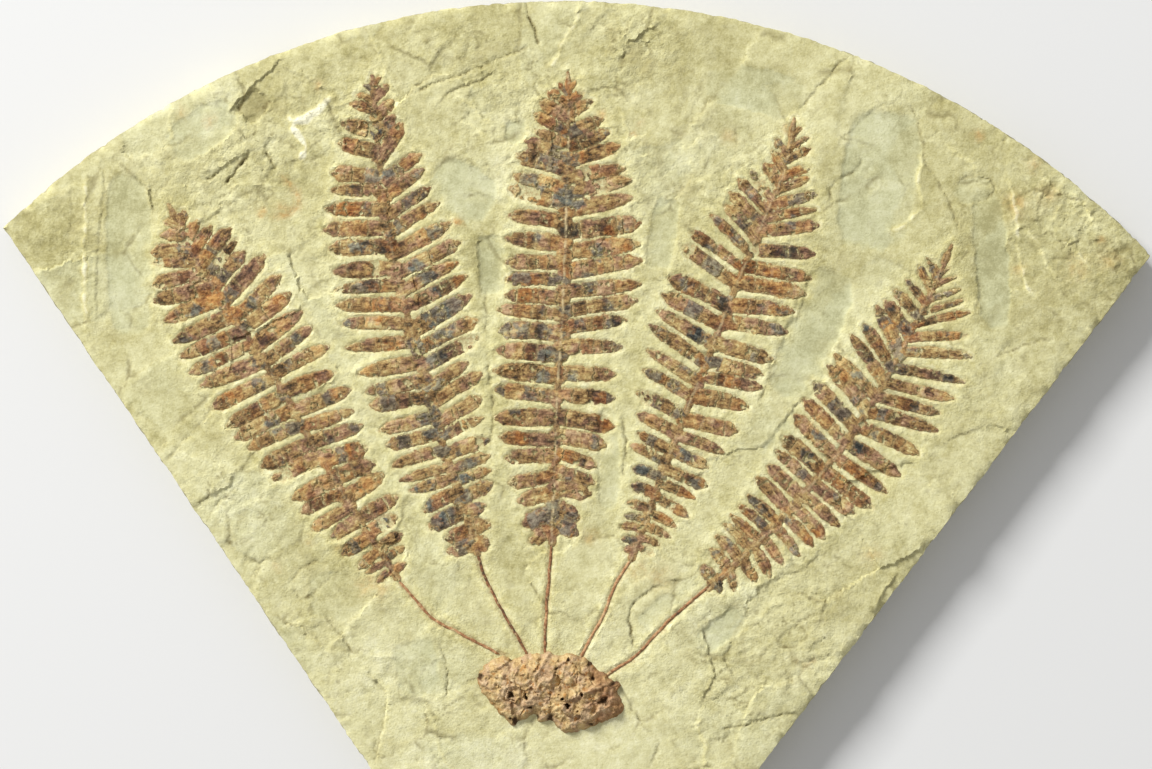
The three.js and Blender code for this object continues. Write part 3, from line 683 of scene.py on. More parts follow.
    def gap_at(self, x, y):
        """Distance outside the frond's edge for points on the plate, cut off at a long way."""
        across, along = self.local(x, y)
        gap = np.full(x.shape, FAR)
        near = (np.abs(across) < self.WIDEST + self.REACH) & (along > -self.REACH)
        near &= along < self.length + self.REACH
        gap[near] = self.read(across[near], along[near])[0]
        return gap


FIRST_FROND_SEED = 11
fronds = []
for index, (name, parts) in enumerate(FRONDS.items()):
    fronds.append(Frond(name, parts, FIRST_FROND_SEED + index))


def lengthened(route, more):
    """A route with its last point moved on."""
    last = np.array(route[-1], float) - np.array(route[-2], float)
    end = np.array(route[-1]) + last * more / np.linalg.norm(last)
    return [*route[:-1], tuple(end)]


# How far each stalk's end runs in under the root crown, and half the width of its bed.
STALK_TUCK = 4.5
STALK_HALF = 0.9
stalk_paths = {name: smooth_path(lengthened(route, STALK_TUCK), 1.0) for name, route in STALKS.items()}

# Noise and broken-stone patterns that several pieces share, so that they fit one another.
broad, grainy, fine = Noise(1), Noise(2), Noise(3)
plates, flakes, clumps, panels = Facets(4, 0.026), Facets(5, 0.06), Facets(6, 0.0), Facets(7, 0.014)
chunks = Facets(8, 0.2)
# A hollow deeper than this gets painted shade over it, where a shallow one is smooth.
DEEP_SCAR = 0.6
# How far the stone's grain is turned, in degrees.
GRAIN_TURN = 24


def spots(x, y, places, spread=1.0):
    """Soft round patches, strongest where they overlap least far from a centre."""
    wander = 1.2
    total = np.zeros(x.shape)
    px = x + wander * grainy.layered(x, y, 4.0, 2)
    py = y + wander * grainy.layered(x + 50, y, 4.0, 2)
    for place in places:
        cx, cy, radius = place[:3]
        weight = place[3] if len(place) > 3 else 1.0
        near = np.hypot(px - cx, py - cy) / (radius * spread)
        total = np.maximum(total, weight * np.exp(-(near**2)))
    return total


class StoneLine:
    """A crack, step, ridge or stain, as heights and marks on the stone around its path."""

    REACH = {"crack": 3.0, "ridge": 5.0, "step": 22.0, "stain": 6.0}

    # How far a line strays from its smooth path, and the share of it over which each end fades.
    STRAY = 0.75
    FADE = 0.16
    FIRST_SEED = 500

    def __init__(self, kind, strength, points, seed):
        self.kind = kind
        self.strength = strength
        self.wander = Noise(self.FIRST_SEED + seed)
        x, y = smooth_path(points, 1.0).T
        strays = [self.wander.layered(x + more, y, 4.0, 3, 0.6) for more in (0, 90)]
        self.path = np.column_stack([x + self.STRAY * strays[0], y + self.STRAY * strays[1]])
        self.length = len(self.path)

    def near(self, x, y):
        """The numbers of the points that the line can reach."""
        reach = self.REACH[self.kind]
        low, high = self.path.min(0) - reach, self.path.max(0) + reach
        return np.flatnonzero((x > low[0]) & (x < high[0]) & (y > low[1]) & (y < high[1]))

    def mark(self, x, y, face):
        """Adds the line to a face's heights and marks."""
        near = self.near(x, y)
        if not len(near):
            return
        away, side, share = to_path(x[near], y[near], self.path)
        fade = self.strength * smoothstep(0, self.FADE, share) * smoothstep(1, 1 - self.FADE, share)
        along = self.wander.plain(share * self.length, share * 0 + 40, 3.5)
        uneven = 0.5 + 0.5 * np.clip(along, -1, 1)
        if self.kind == "crack":
            groove = np.exp(-((away / (0.26 + 0.32 * uneven)) ** 2))
            face["height"][near] -= (0.2 + 0.4 * uneven) * fade * groove
            self.raise_mark(face["dark"], near, (0.2 + 1.2 * uneven**1.6) * fade * groove)
            face["height"][near] -= 0.2 * fade * (side > 0) * np.exp(-away / 2.5)
        elif self.kind == "ridge":
            width = (0.35 + 0.75 * uneven) * (0.5 + 0.5 * self.strength)
            crest = np.exp(-((away / width) ** 2))
            face["height"][near] += (0.16 + 0.24 * uneven) * np.minimum(fade, 1.4) * crest
            self.raise_mark(face["pale"], near, (0.4 + 0.8 * uneven) * fade * crest)
        elif self.kind == "step":
            low_side = smoothstep(-0.35, 0.35, side * away)
            face["height"][near] -= 0.8 * fade * low_side * np.exp(-away / 6.0)
            # Painted shadow along the step's foot on its low side, and a painted highlight along its lip
            # on the high side.
            line = np.exp(-(((away - 0.3) / (0.3 + 0.5 * uneven)) ** 2)) * (side > 0)
            self.raise_mark(face["dark"], near, (0.2 + 0.8 * uneven**1.6) * fade * line)
            lip = np.exp(-(((away - 0.8) / 0.8) ** 2)) * (side < 0)
            self.raise_mark(face["pale"], near, 0.6 * fade * lip)
        else:
            self.raise_mark(face["iron"], near, fade * np.exp(-((away / 1.3) ** 2)))

    @staticmethod
    def raise_mark(mark, near, least):
        """Brings a mark up to at least the given strength at the points near the line."""
        mark[near] = np.maximum(mark[near], least)


stone_lines = [StoneLine(*line, seed) for seed, line in enumerate(LINES)]


def plant_gap(x, y):
    """Distance outside the nearest film, stalk or crown edge."""
    gap = np.full(x.shape, FAR)
    for frond in fronds:
        gap = np.minimum(gap, frond.gap_at(x, y))
    reach = 6
    for path in stalk_paths.values():
        low, high = path.min(0) - reach, path.max(0) + reach
        near = np.flatnonzero((x > low[0]) & (x < high[0]) & (y > low[1]) & (y < high[1]))
        gap[near] = np.minimum(gap[near], to_path(x[near], y[near], path)[0] - STALK_HALF)
    return gap


def hollows(x, y, face):
    """Sinks the hollows into the face, paints shade over the deep ones, and gives how smooth they make
    it.
    """
    wander = 0.9
    smooth = np.zeros(x.shape)
    for cx, cy, half_x, half_y, degrees, depth in SCARS:
        c, s = math.cos(math.radians(degrees)), math.sin(math.radians(degrees))
        dx = x - cx + wander * grainy.layered(x, y, 6.0, 3)
        dy = y - cy + wander * grainy.layered(x, y + 80, 6.0, 3)
        squared = np.abs((dx * c + dy * s) / half_x) ** 4 + np.abs((dy * c - dx * s) / half_y) ** 4
        within = smoothstep(1.05, 0.95, squared ** 0.25)
        face["height"] -= depth * within
        # A deep hollow is darkened as painted shade.
        if depth > DEEP_SCAR:
            face["dark"] = np.maximum(face["dark"], 0.5 * within)
        else:
            smooth = np.maximum(smooth, within * min(1, depth / 0.35))
    return smooth


def roughness(x, y, smooth):
    """How rough the face is, from about 0 to 1.4."""
    rough = 0.38 + 0.3 * broad.layered(x + 200, y, 40.0, 2)
    for cx, cy, radius, amount in ROUGH_AREAS:
        rough = rough + amount * np.exp(-(((x - cx) ** 2 + (y - cy) ** 2) / radius**2))
    return np.clip(rough, 0.08, 1.4) * (1 - 0.8 * smooth)


def layer_edges(x, y, run, rise, rough, face):
    """Thin layers that split off one by one, each edge with painted shade at its foot and a painted
    highlight along its top.
    """
    lamina = 0.34
    near_by = 0.4

    def layers(px, py):
        return 2.6 * broad.layered(px, py * 1.7, 58.0, 5, 0.55)

    level = layers(run, rise)
    slope = np.hypot(layers(run + near_by, rise) - level, layers(run, rise + near_by) - level) / near_by
    past_edge = (level - np.floor(level)) / (slope + 0.01)
    broken = 0.25 + 0.75 * np.clip(rough, 0, 1)
    face["height"] += lamina * broken * (np.floor(level) + smoothstep(0, 0.7, past_edge) - level)
    gate = smoothstep(-0.1, 0.5, grainy.layered(x + 5, y, 14.0, 2))
    # Painted shade at the foot of each layer's edge, and a painted highlight a little above it.
    face["dark"] += 0.85 * gate * broken * np.exp(-(((past_edge - 0.1) / 0.45) ** 2))
    face["pale"] += 0.4 * gate * broken * np.exp(-(((past_edge - 1.4) / 0.8) ** 2))


def broken_patches(x, y, run, rise, rough, smooth, face):
    """Large panels with joints between them, plates with seams, and small flakes. Gives each
    panel's own level."""
    bend = 1.3
    bent_run = run + bend * grainy.layered(run, rise, 7.0, 3)
    bent_rise = rise + bend * grainy.layered(run + 60, rise, 7.0, 3)
    panel, joint, panel_level = panels.read(bent_run / 1.4, bent_rise, 27.0, 0.09)
    large, seam, _ = plates.read(bent_run / 1.5, bent_rise, 12.0, 0.08)
    small = flakes.read(bent_run / 1.3, bent_rise, 4.6, 0.05)[0]
    hackle = 1 - 2 * np.abs(grainy.layered(run, rise * 1.6, 15.0, 3, 0.6))
    face["height"] += 0.5 * broad.layered(x, y, 80.0, 2) + panel * (1 - smooth)
    face["height"] += rough * (0.9 * large + 0.14 * hackle + 0.07 * fine.layered(x, y, 2.6, 3, 0.6))
    face["height"] += 0.75 * smoothstep(0.45, 1.1, rough) * small
    seamed = smoothstep(0.1, 0.6, grainy.layered(x + 33, y, 22.0, 2))
    face["dark"] += 0.5 * seamed * np.clip(rough, 0, 1) * np.exp(-((seam / 0.4) ** 2))
    jointed = smoothstep(-0.2, 0.5, grainy.layered(x + 90, y, 18.0, 2))
    face["dark"] += 0.8 * jointed * np.exp(-((joint / 0.38) ** 2))
    face["height"] -= 0.18 * jointed * np.exp(-((joint / 0.5) ** 2))
    face["pale"] += 0.3 * jointed * np.exp(-(((joint - 1.2) / 0.7) ** 2))
    return panel_level


def bedding(x, y):
    """The stone's face before anything is prepared around the plant: heights and marks."""
    face = {name: np.zeros(x.shape) for name in ("height", "dark", "pale", "grey", "iron")}
    turn = math.radians(GRAIN_TURN)
    run, rise = x * math.cos(turn) + y * math.sin(turn), y * math.cos(turn) - x * math.sin(turn)
    smooth = hollows(x, y, face)
    rough = roughness(x, y, smooth)
    layer_edges(x, y, run, rise, rough, face)
    panel_level = broken_patches(x, y, run, rise, rough, smooth, face)
    face["rough"] = np.clip(rough, 0, 1.3)
    greyish = smooth + 0.3 * broad.layered(x + 300, y, 38.0, 3) + 0.3 * panel_level - 0.1
    face["grey"] = np.clip(greyish, 0, 1)
    face["iron"] = spots(x, y, IRON_SPOTS)
    face["tone"] = 0.2 * broad.layered(x, y + 400, 60.0, 3) + 0.35 * np.clip(panel_level, -1.5, 1.5)
    for cx, cy, radius, amount in TONE_AREAS:
        face["tone"] += amount * np.exp(-(((x - cx) ** 2 + (y - cy) ** 2) / radius**2))
    for line in stone_lines:
        line.mark(x, y, face)
    return face


def stone_face(x, y):
    """The finished face: the bedding, worked down to the films, with low ridges between leaflets."""
    face = bedding(x, y)
    gap = plant_gap(x, y)
    face["gap"] = gap
    uneven = 0.7 + 0.6 * grainy.layered(x, y, 4.5, 3, 0.6)
    crest = smoothstep(0.0, 1.0, gap) * np.exp(-np.maximum(0, gap - 1.1) / 1.7)
    face["height"] += uneven * 0.42 * crest - 0.3 * smoothstep(0.4, -0.5, gap)
    face["height"] += 0.2 * crest * fine.layered(x + 8, y, 2.2, 2)
    halo = smoothstep(-0.4, 0.4, gap) * np.exp(-np.maximum(0, gap - 1.3) / 2.4)
    patchy = 0.85 + 0.5 * grainy.layered(x + 70, y, 5.0, 3, 0.6)
    face["pale"] = np.maximum(face["pale"], halo * np.clip(patchy, 0, 1.3))
    face["worked"] = smoothstep(10, 2, gap)
    face["grey"] *= 1 - 0.6 * smoothstep(3.5, 1.0, gap)
    face["residue"] = smoothstep(1.0, -0.2, gap + 0.5 * fine.layered(x, y + 60, 3.0, 2))
    return face


def build(name, vertices, triangles, marks, finish, slot, replaced, sharp=38):
    """A named piece from corners in millimetres, with its marks as attributes."""
    mesh = bpy.data.meshes.new(name)
    vertices = np.asarray(vertices, np.float32) * MM
    triangles = np.asarray(triangles, np.int32)
    mesh.vertices.add(len(vertices))
    mesh.vertices.foreach_set("co", vertices.ravel())
    mesh.loops.add(triangles.size)
    mesh.loops.foreach_set("vertex_index", triangles.ravel())
    mesh.polygons.add(len(triangles))
    mesh.polygons.foreach_set("loop_start", np.arange(0, triangles.size, 3, dtype=np.int32))
    mesh.polygons.foreach_set("use_smooth", np.ones(len(triangles), bool))
    for mark, values in marks.items():
        attribute = mesh.attributes.new(mark, "FLOAT", "POINT")
        attribute.data.foreach_set("value", np.asarray(values, np.float32))
    mesh.update()
    mesh.validate()
    mesh.set_sharp_from_angle(angle=math.radians(sharp))
    mesh.materials.append(finish)
    piece = bpy.data.objects.new(name, mesh)
    bpy.context.scene.collection.objects.link(piece)
    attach(piece, "root")
    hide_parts(replaced)
    return piece


def triangulate(rim, inner):
    """Triangles that fill a closed rim through inner points: corners, triangles and the rim's
    own corner numbers in order."""
    points = [Vector(p) for p in rim] + [Vector(p) for p in inner]
    count = len(rim)
    edges = [(i, (i + 1) % count) for i in range(count)]
    made = delaunay_2d_cdt(points, edges, [], 1, 1e-5)
    corners = np.array([tuple(v) for v in made[0]])
    triangles = np.array(made[2])
    place = {}
    for number, sources in enumerate(made[3]):
        for source in sources:
            place[source] = number
    return corners, triangles, np.array([place[i] for i in range(count)])


def lattice(low, high, pitch, seed, jitter=0.16):
    """Staggered rows of points, each moved a little at random."""
    rng = np.random.default_rng(seed)
    rows = np.arange(low[1], high[1], pitch * math.sqrt(0.75))
    columns = np.arange(low[0], high[0], pitch)
    x = columns[None, :] + (np.arange(len(rows)) % 2)[:, None] * pitch / 2
    y = np.repeat(rows[:, None], len(columns), axis=1)
    x = x + rng.uniform(-jitter, jitter, x.shape) * pitch
    y = y + rng.uniform(-jitter, jitter, y.shape) * pitch
    return x, y


def slab_outline(step):
    """Points round the slab's edge, and the direction out of the stone at each."""
    cx, cy = ARC_CENTRE
    turns = np.linspace(ARC_FROM, ARC_TO, int(ARC_RADIUS * (ARC_TO - ARC_FROM) / step))
    arc = np.column_stack([cx + ARC_RADIUS * np.cos(turns), cy + ARC_RADIUS * np.sin(turns)])
    corners = [FOOT_LEFT, FOOT_RIGHT, tuple(arc[0])]
    sides = []
    for start, end in (*zip(corners, corners[1:]), (tuple(arc[-1]), FOOT_LEFT)):
        start, end = np.array(start), np.array(end)
        count = int(np.linalg.norm(end - start) / step)
        share = np.arange(count) / count
        sides.append(start + (end - start) * share[:, None])
    path = np.vstack([sides[0], sides[1], arc[:-1], sides[2]])
    along = np.roll(path, -1, axis=0) - np.roll(path, 1, axis=0)
    along /= np.linalg.norm(along, axis=1)[:, None]
    return path, np.column_stack([along[:, 1], -along[:, 0]])


def beside(path, away):
    """A path moved sideways."""
    along = np.gradient(path, axis=0)
    along /= np.linalg.norm(along, axis=1)[:, None]
    return path + away * np.column_stack([-along[:, 1], along[:, 0]])


# The slab's mesh: how far apart its rim's points are, and its face's and underside's. Of the
# face's points, one in COARSE each way is kept, and then FINE_POINTS of those where it bends most.
RIM_STEP = 1.5
FACE_PITCH = 0.92
UNDERSIDE_PITCH = 4.6
COARSE = 3
FINE_POINTS = 50000
# How far inside the slab's outline the points of its face and underside stay.
FACE_MARGIN = 2.6
UNDERSIDE_MARGIN = 4.0
# Where points are drawn beside each line in the stone.
LINE_OFFSETS = (-1.1, -0.35, 0.35, 1.1)
# How far below the face each ring round the broken sides is.
SIDE_DEPTHS = (0.9, 2.2, 3.8, 5.4, 7.2, 9.0, 11.0, 13.0, 15.0, 16.6, 17.5)
PLATE_LOW, PLATE_HIGH = (-231, -161), (231, 161)


def face_points(path, out):
    """Points for the slab's face: close where it bends, sparse where it is even, and some drawn
    along each line in the stone."""
    margin = path - out * FACE_MARGIN
    x, y = lattice(PLATE_LOW, PLATE_HIGH, FACE_PITCH, seed=21)
    face = {mark: values.reshape(x.shape) for mark, values in stone_face(x.ravel(), y.ravel()).items()}
    surface = face["height"] + 0.35 * (face["pale"] - face["dark"])
    bend = np.zeros(x.shape)
    for axis in (0, 1):
        bend += np.abs(np.roll(surface, 1, axis) + np.roll(surface, -1, axis) - 2 * surface)
    bend[face["gap"] < -STALK_HALF] = 0
    coarse = np.zeros(x.shape, bool)
    coarse[::COARSE, ::COARSE] = True
    within = inside(x, y, margin)
    cut = np.sort(bend[within & ~coarse])[-FINE_POINTS]
    kept = within & (coarse | (bend > cut))
    drawn = np.vstack([beside(line.path, away) for line in stone_lines for away in LINE_OFFSETS])
    drawn = drawn[inside(*drawn.T, margin)]
    return np.vstack([np.column_stack([x[kept], y[kept]]), drawn])


def side_rings(path, out, walk, chips):
    """The rings round the slab's layered, broken sides, from the top down, and their heights."""
    rings, heights = [], []
    for number, depth in enumerate(SIDE_DEPTHS):
        inset = 0.35 + 0.55 * grainy.layered(walk, walk * 0 + 31 * number, 14.0, 2)
        inset += 0.45 * fine.layered(walk, walk * 0 + 13 * number, 3.0, 2)
        inset += 1.1 * chips * math.exp(-depth / 1.4) + (0.8 if depth == SIDE_DEPTHS[-1] else 0)
        rings.append(path - out * np.clip(inset, 0, 2.4)[:, None])
        heights.append(np.full(len(path), FACE - depth))
    return rings, heights


def slab_mesh():
    """The whole slab: face, broken sides and underside, as one closed mesh."""
    path, out = slab_outline(RIM_STEP)
    walk = np.arange(len(path)) * RIM_STEP
    chips = np.clip(broad.layered(walk, walk * 0, 9.0, 3, 0.6), 0, 1)
    rim = path - out * (0.5 + 1.5 * chips + 0.25 * fine.plain(walk, walk * 0 + 7, 2.2))[:, None]
    corners, triangles, rim_at = triangulate(rim, face_points(path, out))
    face = stone_face(corners[:, 0], corners[:, 1])
    top_z = FACE + face["height"]
    top_z[rim_at] -= 0.35 + 0.6 * chips

    foot = path - out * (1.3 + 0.3 * fine.plain(walk, walk * 0 + 99, 4.0))[:, None]
    bx, by = lattice(PLATE_LOW, PLATE_HIGH, UNDERSIDE_PITCH, seed=22)
    below = inside(bx, by, path - out * UNDERSIDE_MARGIN)
    under, under_triangles, under_rim = triangulate(foot, np.column_stack([bx[below], by[below]]))
    under_z = 0.55 * smoothstep(0.1, 0.9, 0.5 + 0.5 * broad.layered(under[:, 0], under[:, 1], 26.0, 3))

    start = len(corners)
    ring_numbers = [rim_at]
    vertices = [np.column_stack([corners, top_z])]
    for ring, height in zip(*side_rings(path, out, walk, chips)):
        ring_numbers.append(start + np.arange(len(path)))
        vertices.append(np.column_stack([ring, height]))
        start += len(path)
    ring_numbers.append(start + under_rim)
    vertices.append(np.column_stack([under, under_z]))
    faces = [triangles, under_triangles[:, ::-1] + start]
    for upper, lower in zip(ring_numbers, ring_numbers[1:]):
        after_upper, after_lower = np.roll(upper, -1), np.roll(lower, -1)
        faces.append(np.column_stack([upper, lower, after_upper]))
        faces.append(np.column_stack([after_upper, lower, after_lower]))
    vertices = np.vstack(vertices)
    marks = {}
    for mark in ("pale", "dark", "grey", "iron", "worked", "rough", "tone", "residue"):
        marks[mark] = np.concatenate([face[mark], np.zeros(len(vertices) - len(corners))])
    return vertices, np.vstack(faces), marks


def cut_out(field, triangles):
    """The part of a triangle grid where a field is negative, with its edge cut through the grid.
    Returns which corners are kept, the cut corners as (inner, outer, share), the triangles and
    the edge loops' pieces."""
    count = len(field)
    below = field < 0
    inner_count = below[triangles].sum(axis=1)
    whole = triangles[inner_count == 3]

    def turned(chosen, first):
        """Each triangle turned so that the one corner that differs comes first."""
        at = np.argmax(first[chosen], axis=1)
        rows = np.arange(len(chosen))
        return [chosen[rows, (at + k) % 3] for k in range(3)]

    one = turned(triangles[inner_count == 1], below)
    two = turned(triangles[inner_count == 2], ~below)
    cut_edges = ((one[0], one[1]), (one[0], one[2]), (two[1], two[0]), (two[2], two[0]))
    keys = np.concatenate([kept * count + dropped for kept, dropped in cut_edges])
    unique, number = np.unique(keys, return_inverse=True)
    inner, outer = unique // count, unique % count
    share = field[inner] / (field[inner] - field[outer])
    splits = np.cumsum([len(one[0]), len(one[0]), len(two[0])])
    ab, ac, ba, ca = np.split(number + count, splits)
    made = np.vstack([
        whole,
        np.column_stack([one[0], ab, ac]),
        np.column_stack([two[1], two[2], ca]),
        np.column_stack([two[1], ca, ba]),
    ])
    edges = np.vstack([np.column_stack([ab, ac]), np.column_stack([ca, ba])])
    return inner, outer, share, made, edges


def drop_crumbs(triangles, edges, count, least):
    """Removes bits of film of only a few triangles."""
    label = np.arange(count)
    while True:
        low = label[triangles].min(axis=1)
        fresh = label.copy()
        for k in range(3):
            np.minimum.at(fresh, triangles[:, k], low)
        fresh = fresh[fresh]
        if (fresh == label).all():
            break
        label = fresh
    sizes = np.bincount(label[triangles[:, 0]], minlength=count)
    return triangles[sizes[label[triangles[:, 0]]] >= least], edges[sizes[label[edges[:, 0]]] >= least]


def grid_triangles(rows, columns):
    """Triangles over a grid of corners, with the diagonals turned from cell to cell."""
    row, column = np.meshgrid(np.arange(rows - 1), np.arange(columns - 1), indexing="ij")
    a = (row * columns + column).ravel()
    b, c, d = a + 1, a + columns, a + columns + 1
    odd = ((row + column) % 2).ravel().astype(bool)
    first = np.where(odd[:, None], np.column_stack([a, b, c]), np.column_stack([a, b, d]))
    second = np.where(odd[:, None], np.column_stack([b, d, c]), np.column_stack([a, d, c]))
    return np.vstack([first, second])


# The films' grid, the least size of a bit of film in triangles, and how far below the stone's
# bedding a film's underside is.
FILM_PITCH = 0.46
FILM_MARGIN = 2
LEAST_BIT = 14
FILM_SUNK = 0.85


def film_field(frond, u, v):
    """For points in a frond's own frame: a field that is negative on the film, with its ragged
    edges, cracks and lost bits, and the marks that go with each leaflet and block."""
    gap, leaf, reach, aside = frond.read(u, v)
    x, y = frond.world(u, v)
    field = gap + 0.46 * fine.layered(x, y, 2.1, 3, 0.7) + 0.36 * grainy.plain(x, y, 4.4) - 0.04
    wobble = 0.8 * fine.layered(x + 40, y, 2.6, 2)
    crumbs = 1.1 + 2.2 * fine.layered(x + 80, y, 2.4, 3, 0.6)
    tone, hue, wear = np.zeros(u.shape), np.full(u.shape, 0.5), np.zeros(u.shape)
    for index, leaflet in enumerate(frond.leaflets):
        chosen = np.flatnonzero((leaf == index) & (gap < 1.2))
        out = reach[chosen] + wobble[chosen]
        block = np.searchsorted(leaflet["cracks"], out)
        tone[chosen] = leaflet["tone"][block]
        hue[chosen] = leaflet["hue"][block]
        wear[chosen] = leaflet["wear"][block] + 0.25 * smoothstep(0.78, 1.0, out / leaflet["length"])
        field[chosen] += leaflet["shrink"][block]
        lost = leaflet["loss"][block] * crumbs[chosen]
        field[chosen] = np.where(lost > 0, np.maximum(field[chosen], lost), field[chosen])
        for place, width in zip(leaflet["cracks"], leaflet["crack_widths"]):
            if width and 2 < place < leaflet["length"]:
                field[chosen] = np.maximum(field[chosen], width / 2 - np.abs(out - place))
    flaked = grainy.layered(x + 11 * frond.seed, y, 4.4, 4, 0.65)
    field = np.maximum(field, 2.4 * (flaked - 0.7))
    # No corner lies almost on the edge, as that would make slivers.
    field = np.where(np.abs(field) < 0.03, np.copysign(0.03, field), field)
    return field, (aside, reach, tone, hue, wear)


def film_mesh(frond):
    """A frond's film: its leaflets and midrib, ragged, cracked across and flaked."""
    across = np.arange(-frond.WIDEST, frond.WIDEST, FILM_PITCH)
    along = np.arange(-FILM_MARGIN, frond.length + FILM_MARGIN, FILM_PITCH)
    u, v = (grid.ravel() for grid in np.meshgrid(across, along))
    field, block_marks = film_field(frond, u, v)
    inner, outer, share, triangles, edges = cut_out(field, grid_triangles(len(along), len(across)))
    triangles, edges = drop_crumbs(triangles, edges, len(u) + len(inner), LEAST_BIT)
    used, renumbered = np.unique(triangles, return_inverse=True)

    def carried(values):
        """Values at the corners that are used, those along the cut edge worked out between."""
        return np.concatenate([values, values[inner] + share * (values[outer] - values[inner])])[used]

    number = np.zeros(len(u) + len(inner), int)
    number[used] = np.arange(len(used))
    triangles = renumbered.reshape(triangles.shape)
    edges = number[edges]
    at_edge = used >= len(u)
    u, v, depth, aside, reach, tone, hue, wear = (carried(a) for a in (u, v, -field, *block_marks))
    depth[at_edge] = 0
    x, y = frond.world(u, v)
    base = FACE + bedding(x, y)["height"]
    pillow = np.sqrt(np.clip(1 - aside**2, 0, 1))
    lift = 0.12 * smoothstep(0, 0.6, depth) + 0.24 * pillow + 0.16 * fine.layered(x, y, 1.7, 2, 0.6)
    lift += 0.06 * tone
    off_rib = u - frond.midrib_at(v) + 0.35 * fine.plain(x, y, 3.0)
    lift += 0.06 * np.exp(-((off_rib / 0.8) ** 2))
    top = np.column_stack([x, y, base + lift])
    bottom = np.column_stack([x, y, base - FILM_SUNK])
    total = len(u)
    faces = np.vstack([
        triangles,
        triangles[:, ::-1] + total,
        np.column_stack([edges[:, 0] + total, edges[:, 1] + total, edges[:, 1]]),
        np.column_stack([edges[:, 0] + total, edges[:, 1], edges[:, 0]]),
    ])
    marks = {
        "tone": tone,
        "hue": hue,
        "rim": 1 - smoothstep(0, 0.9, depth),
        "wear": wear,
        "spine": np.exp(-((off_rib / 0.45) ** 2)) * frond.parts["rib_pale"],
        "slate": spots(x, y, SLATE_SPOTS, 1.15),
        "rust": spots(x, y, RUST_SPOTS, 1.15),
        "side": aside,
        "reach": reach,
    }
    return np.vstack([top, bottom]), faces, {k: np.concatenate([a, a]) for k, a in marks.items()}


# A stalk's domed section, as shares of its half width and height, the distance between its
# rings, and how far below its top its one row of points in the stone is.
STALK_SECTION = ((-1, 0), (-0.8, 0.55), (-0.4, 0.9), (0, 1), (0.4, 0.9), (0.8, 0.55), (1, 0))
STALK_STEP = 0.55
STALK_SUNK = 1.4
FIRST_STALK_SEED = 700


def stalk_mesh(path, seed):
    """A thin, slightly uneven ribbon of film along a stalk's path."""
    noise = Noise(FIRST_STALK_SEED + seed)
    path = smooth_path(path[:: max(1, len(path) // 12)], STALK_STEP)
    along = np.gradient(path, axis=0)
    along /= np.linalg.norm(along, axis=1)[:, None]
    aside = np.column_stack([along[:, 1], -along[:, 0]])
    walk = np.arange(len(path)) * STALK_STEP
    middle = path + aside * (0.22 * noise.layered(walk, walk * 0, 6.0, 2))[:, None]
    ends = smoothstep(0, 1.5, walk) * smoothstep(walk[-1], walk[-1] - 1.5, walk)
    rings = []
    for sideways, up in STALK_SECTION:
        half = 0.53 + 0.2 * noise.layered(walk, walk * 0 + 20 + 5 * sideways, 2.4, 2)
        at = middle + aside * (sideways * half * (0.4 + 0.6 * ends))[:, None]
        base = FACE + bedding(at[:, 0], at[:, 1])["height"]
        lift = up * (0.28 + 0.14 * noise.layered(walk, walk * 0 + 50, 1.8, 2)) * ends - 0.06
        rings.append(np.column_stack([at, base + lift]))
    middle_ring = rings[len(STALK_SECTION) // 2]
    rings.append(middle_ring - np.array([0, 0, STALK_SUNK]))
    count, steps = len(rings), len(path)
    vertices = np.stack(rings, axis=1).reshape(-1, 3)
    faces = []
    for k in range(count):
        a = np.arange(steps - 1) * count + k
        b = np.arange(steps - 1) * count + (k + 1) % count
        faces.append(np.column_stack([a, b, a + count]))
        faces.append(np.column_stack([b, b + count, a + count]))
    last = (steps - 1) * count
    fans = range(1, count - 1)
    caps = [(0, k + 1, k) for k in fans] + [(last, last + k, last + k + 1) for k in fans]
    tone = STALK_TONES[seed] + 0.5 * noise.layered(walk, walk * 0 + 70, 16.0, 3)
    return vertices, np.vstack([*faces, np.array(caps)]), {"tone": np.repeat(tone, count)}


# The crown's mesh: the distances between its rim's points and between its inner points, and
# how far the foot of its rim and the middle of its underside are below the stone.
CROWN_RIM_STEP = 0.45
CROWN_PITCH = 0.4
CROWN_FOOT = 0.8
CROWN_SUNK = 1.2
CROWN_SEED = 801


def crown_outline_mesh(ragged):
    """The crown's ragged rim, its triangles seen from above, and each point's distance from the rim."""
    edge = smooth_path(CROWN_EDGE, CROWN_RIM_STEP, closed=True)[::-1]
    shift = [ragged.layered(edge[:, 0] + more, edge[:, 1], 3.0, 2, 0.55) for more in (0, 30)]
    edge = edge + 0.8 * np.column_stack(shift)
    closed = np.vstack([edge, edge[:1]])
    x, y = lattice(edge.min(0), edge.max(0), CROWN_PITCH, seed=23)
    x, y = x.ravel(), y.ravel()
    within = inside(x, y, edge)
    x, y = x[within], y[within]
    inner = np.column_stack([x, y])[to_path(x, y, closed)[0] > CROWN_PITCH / 2 + 0.02]
    corners, triangles, rim_at = triangulate(edge, inner)
    away = to_path(*corners.T, closed)[0]
    away[rim_at] = 0
    return edge, corners, triangles, rim_at, away


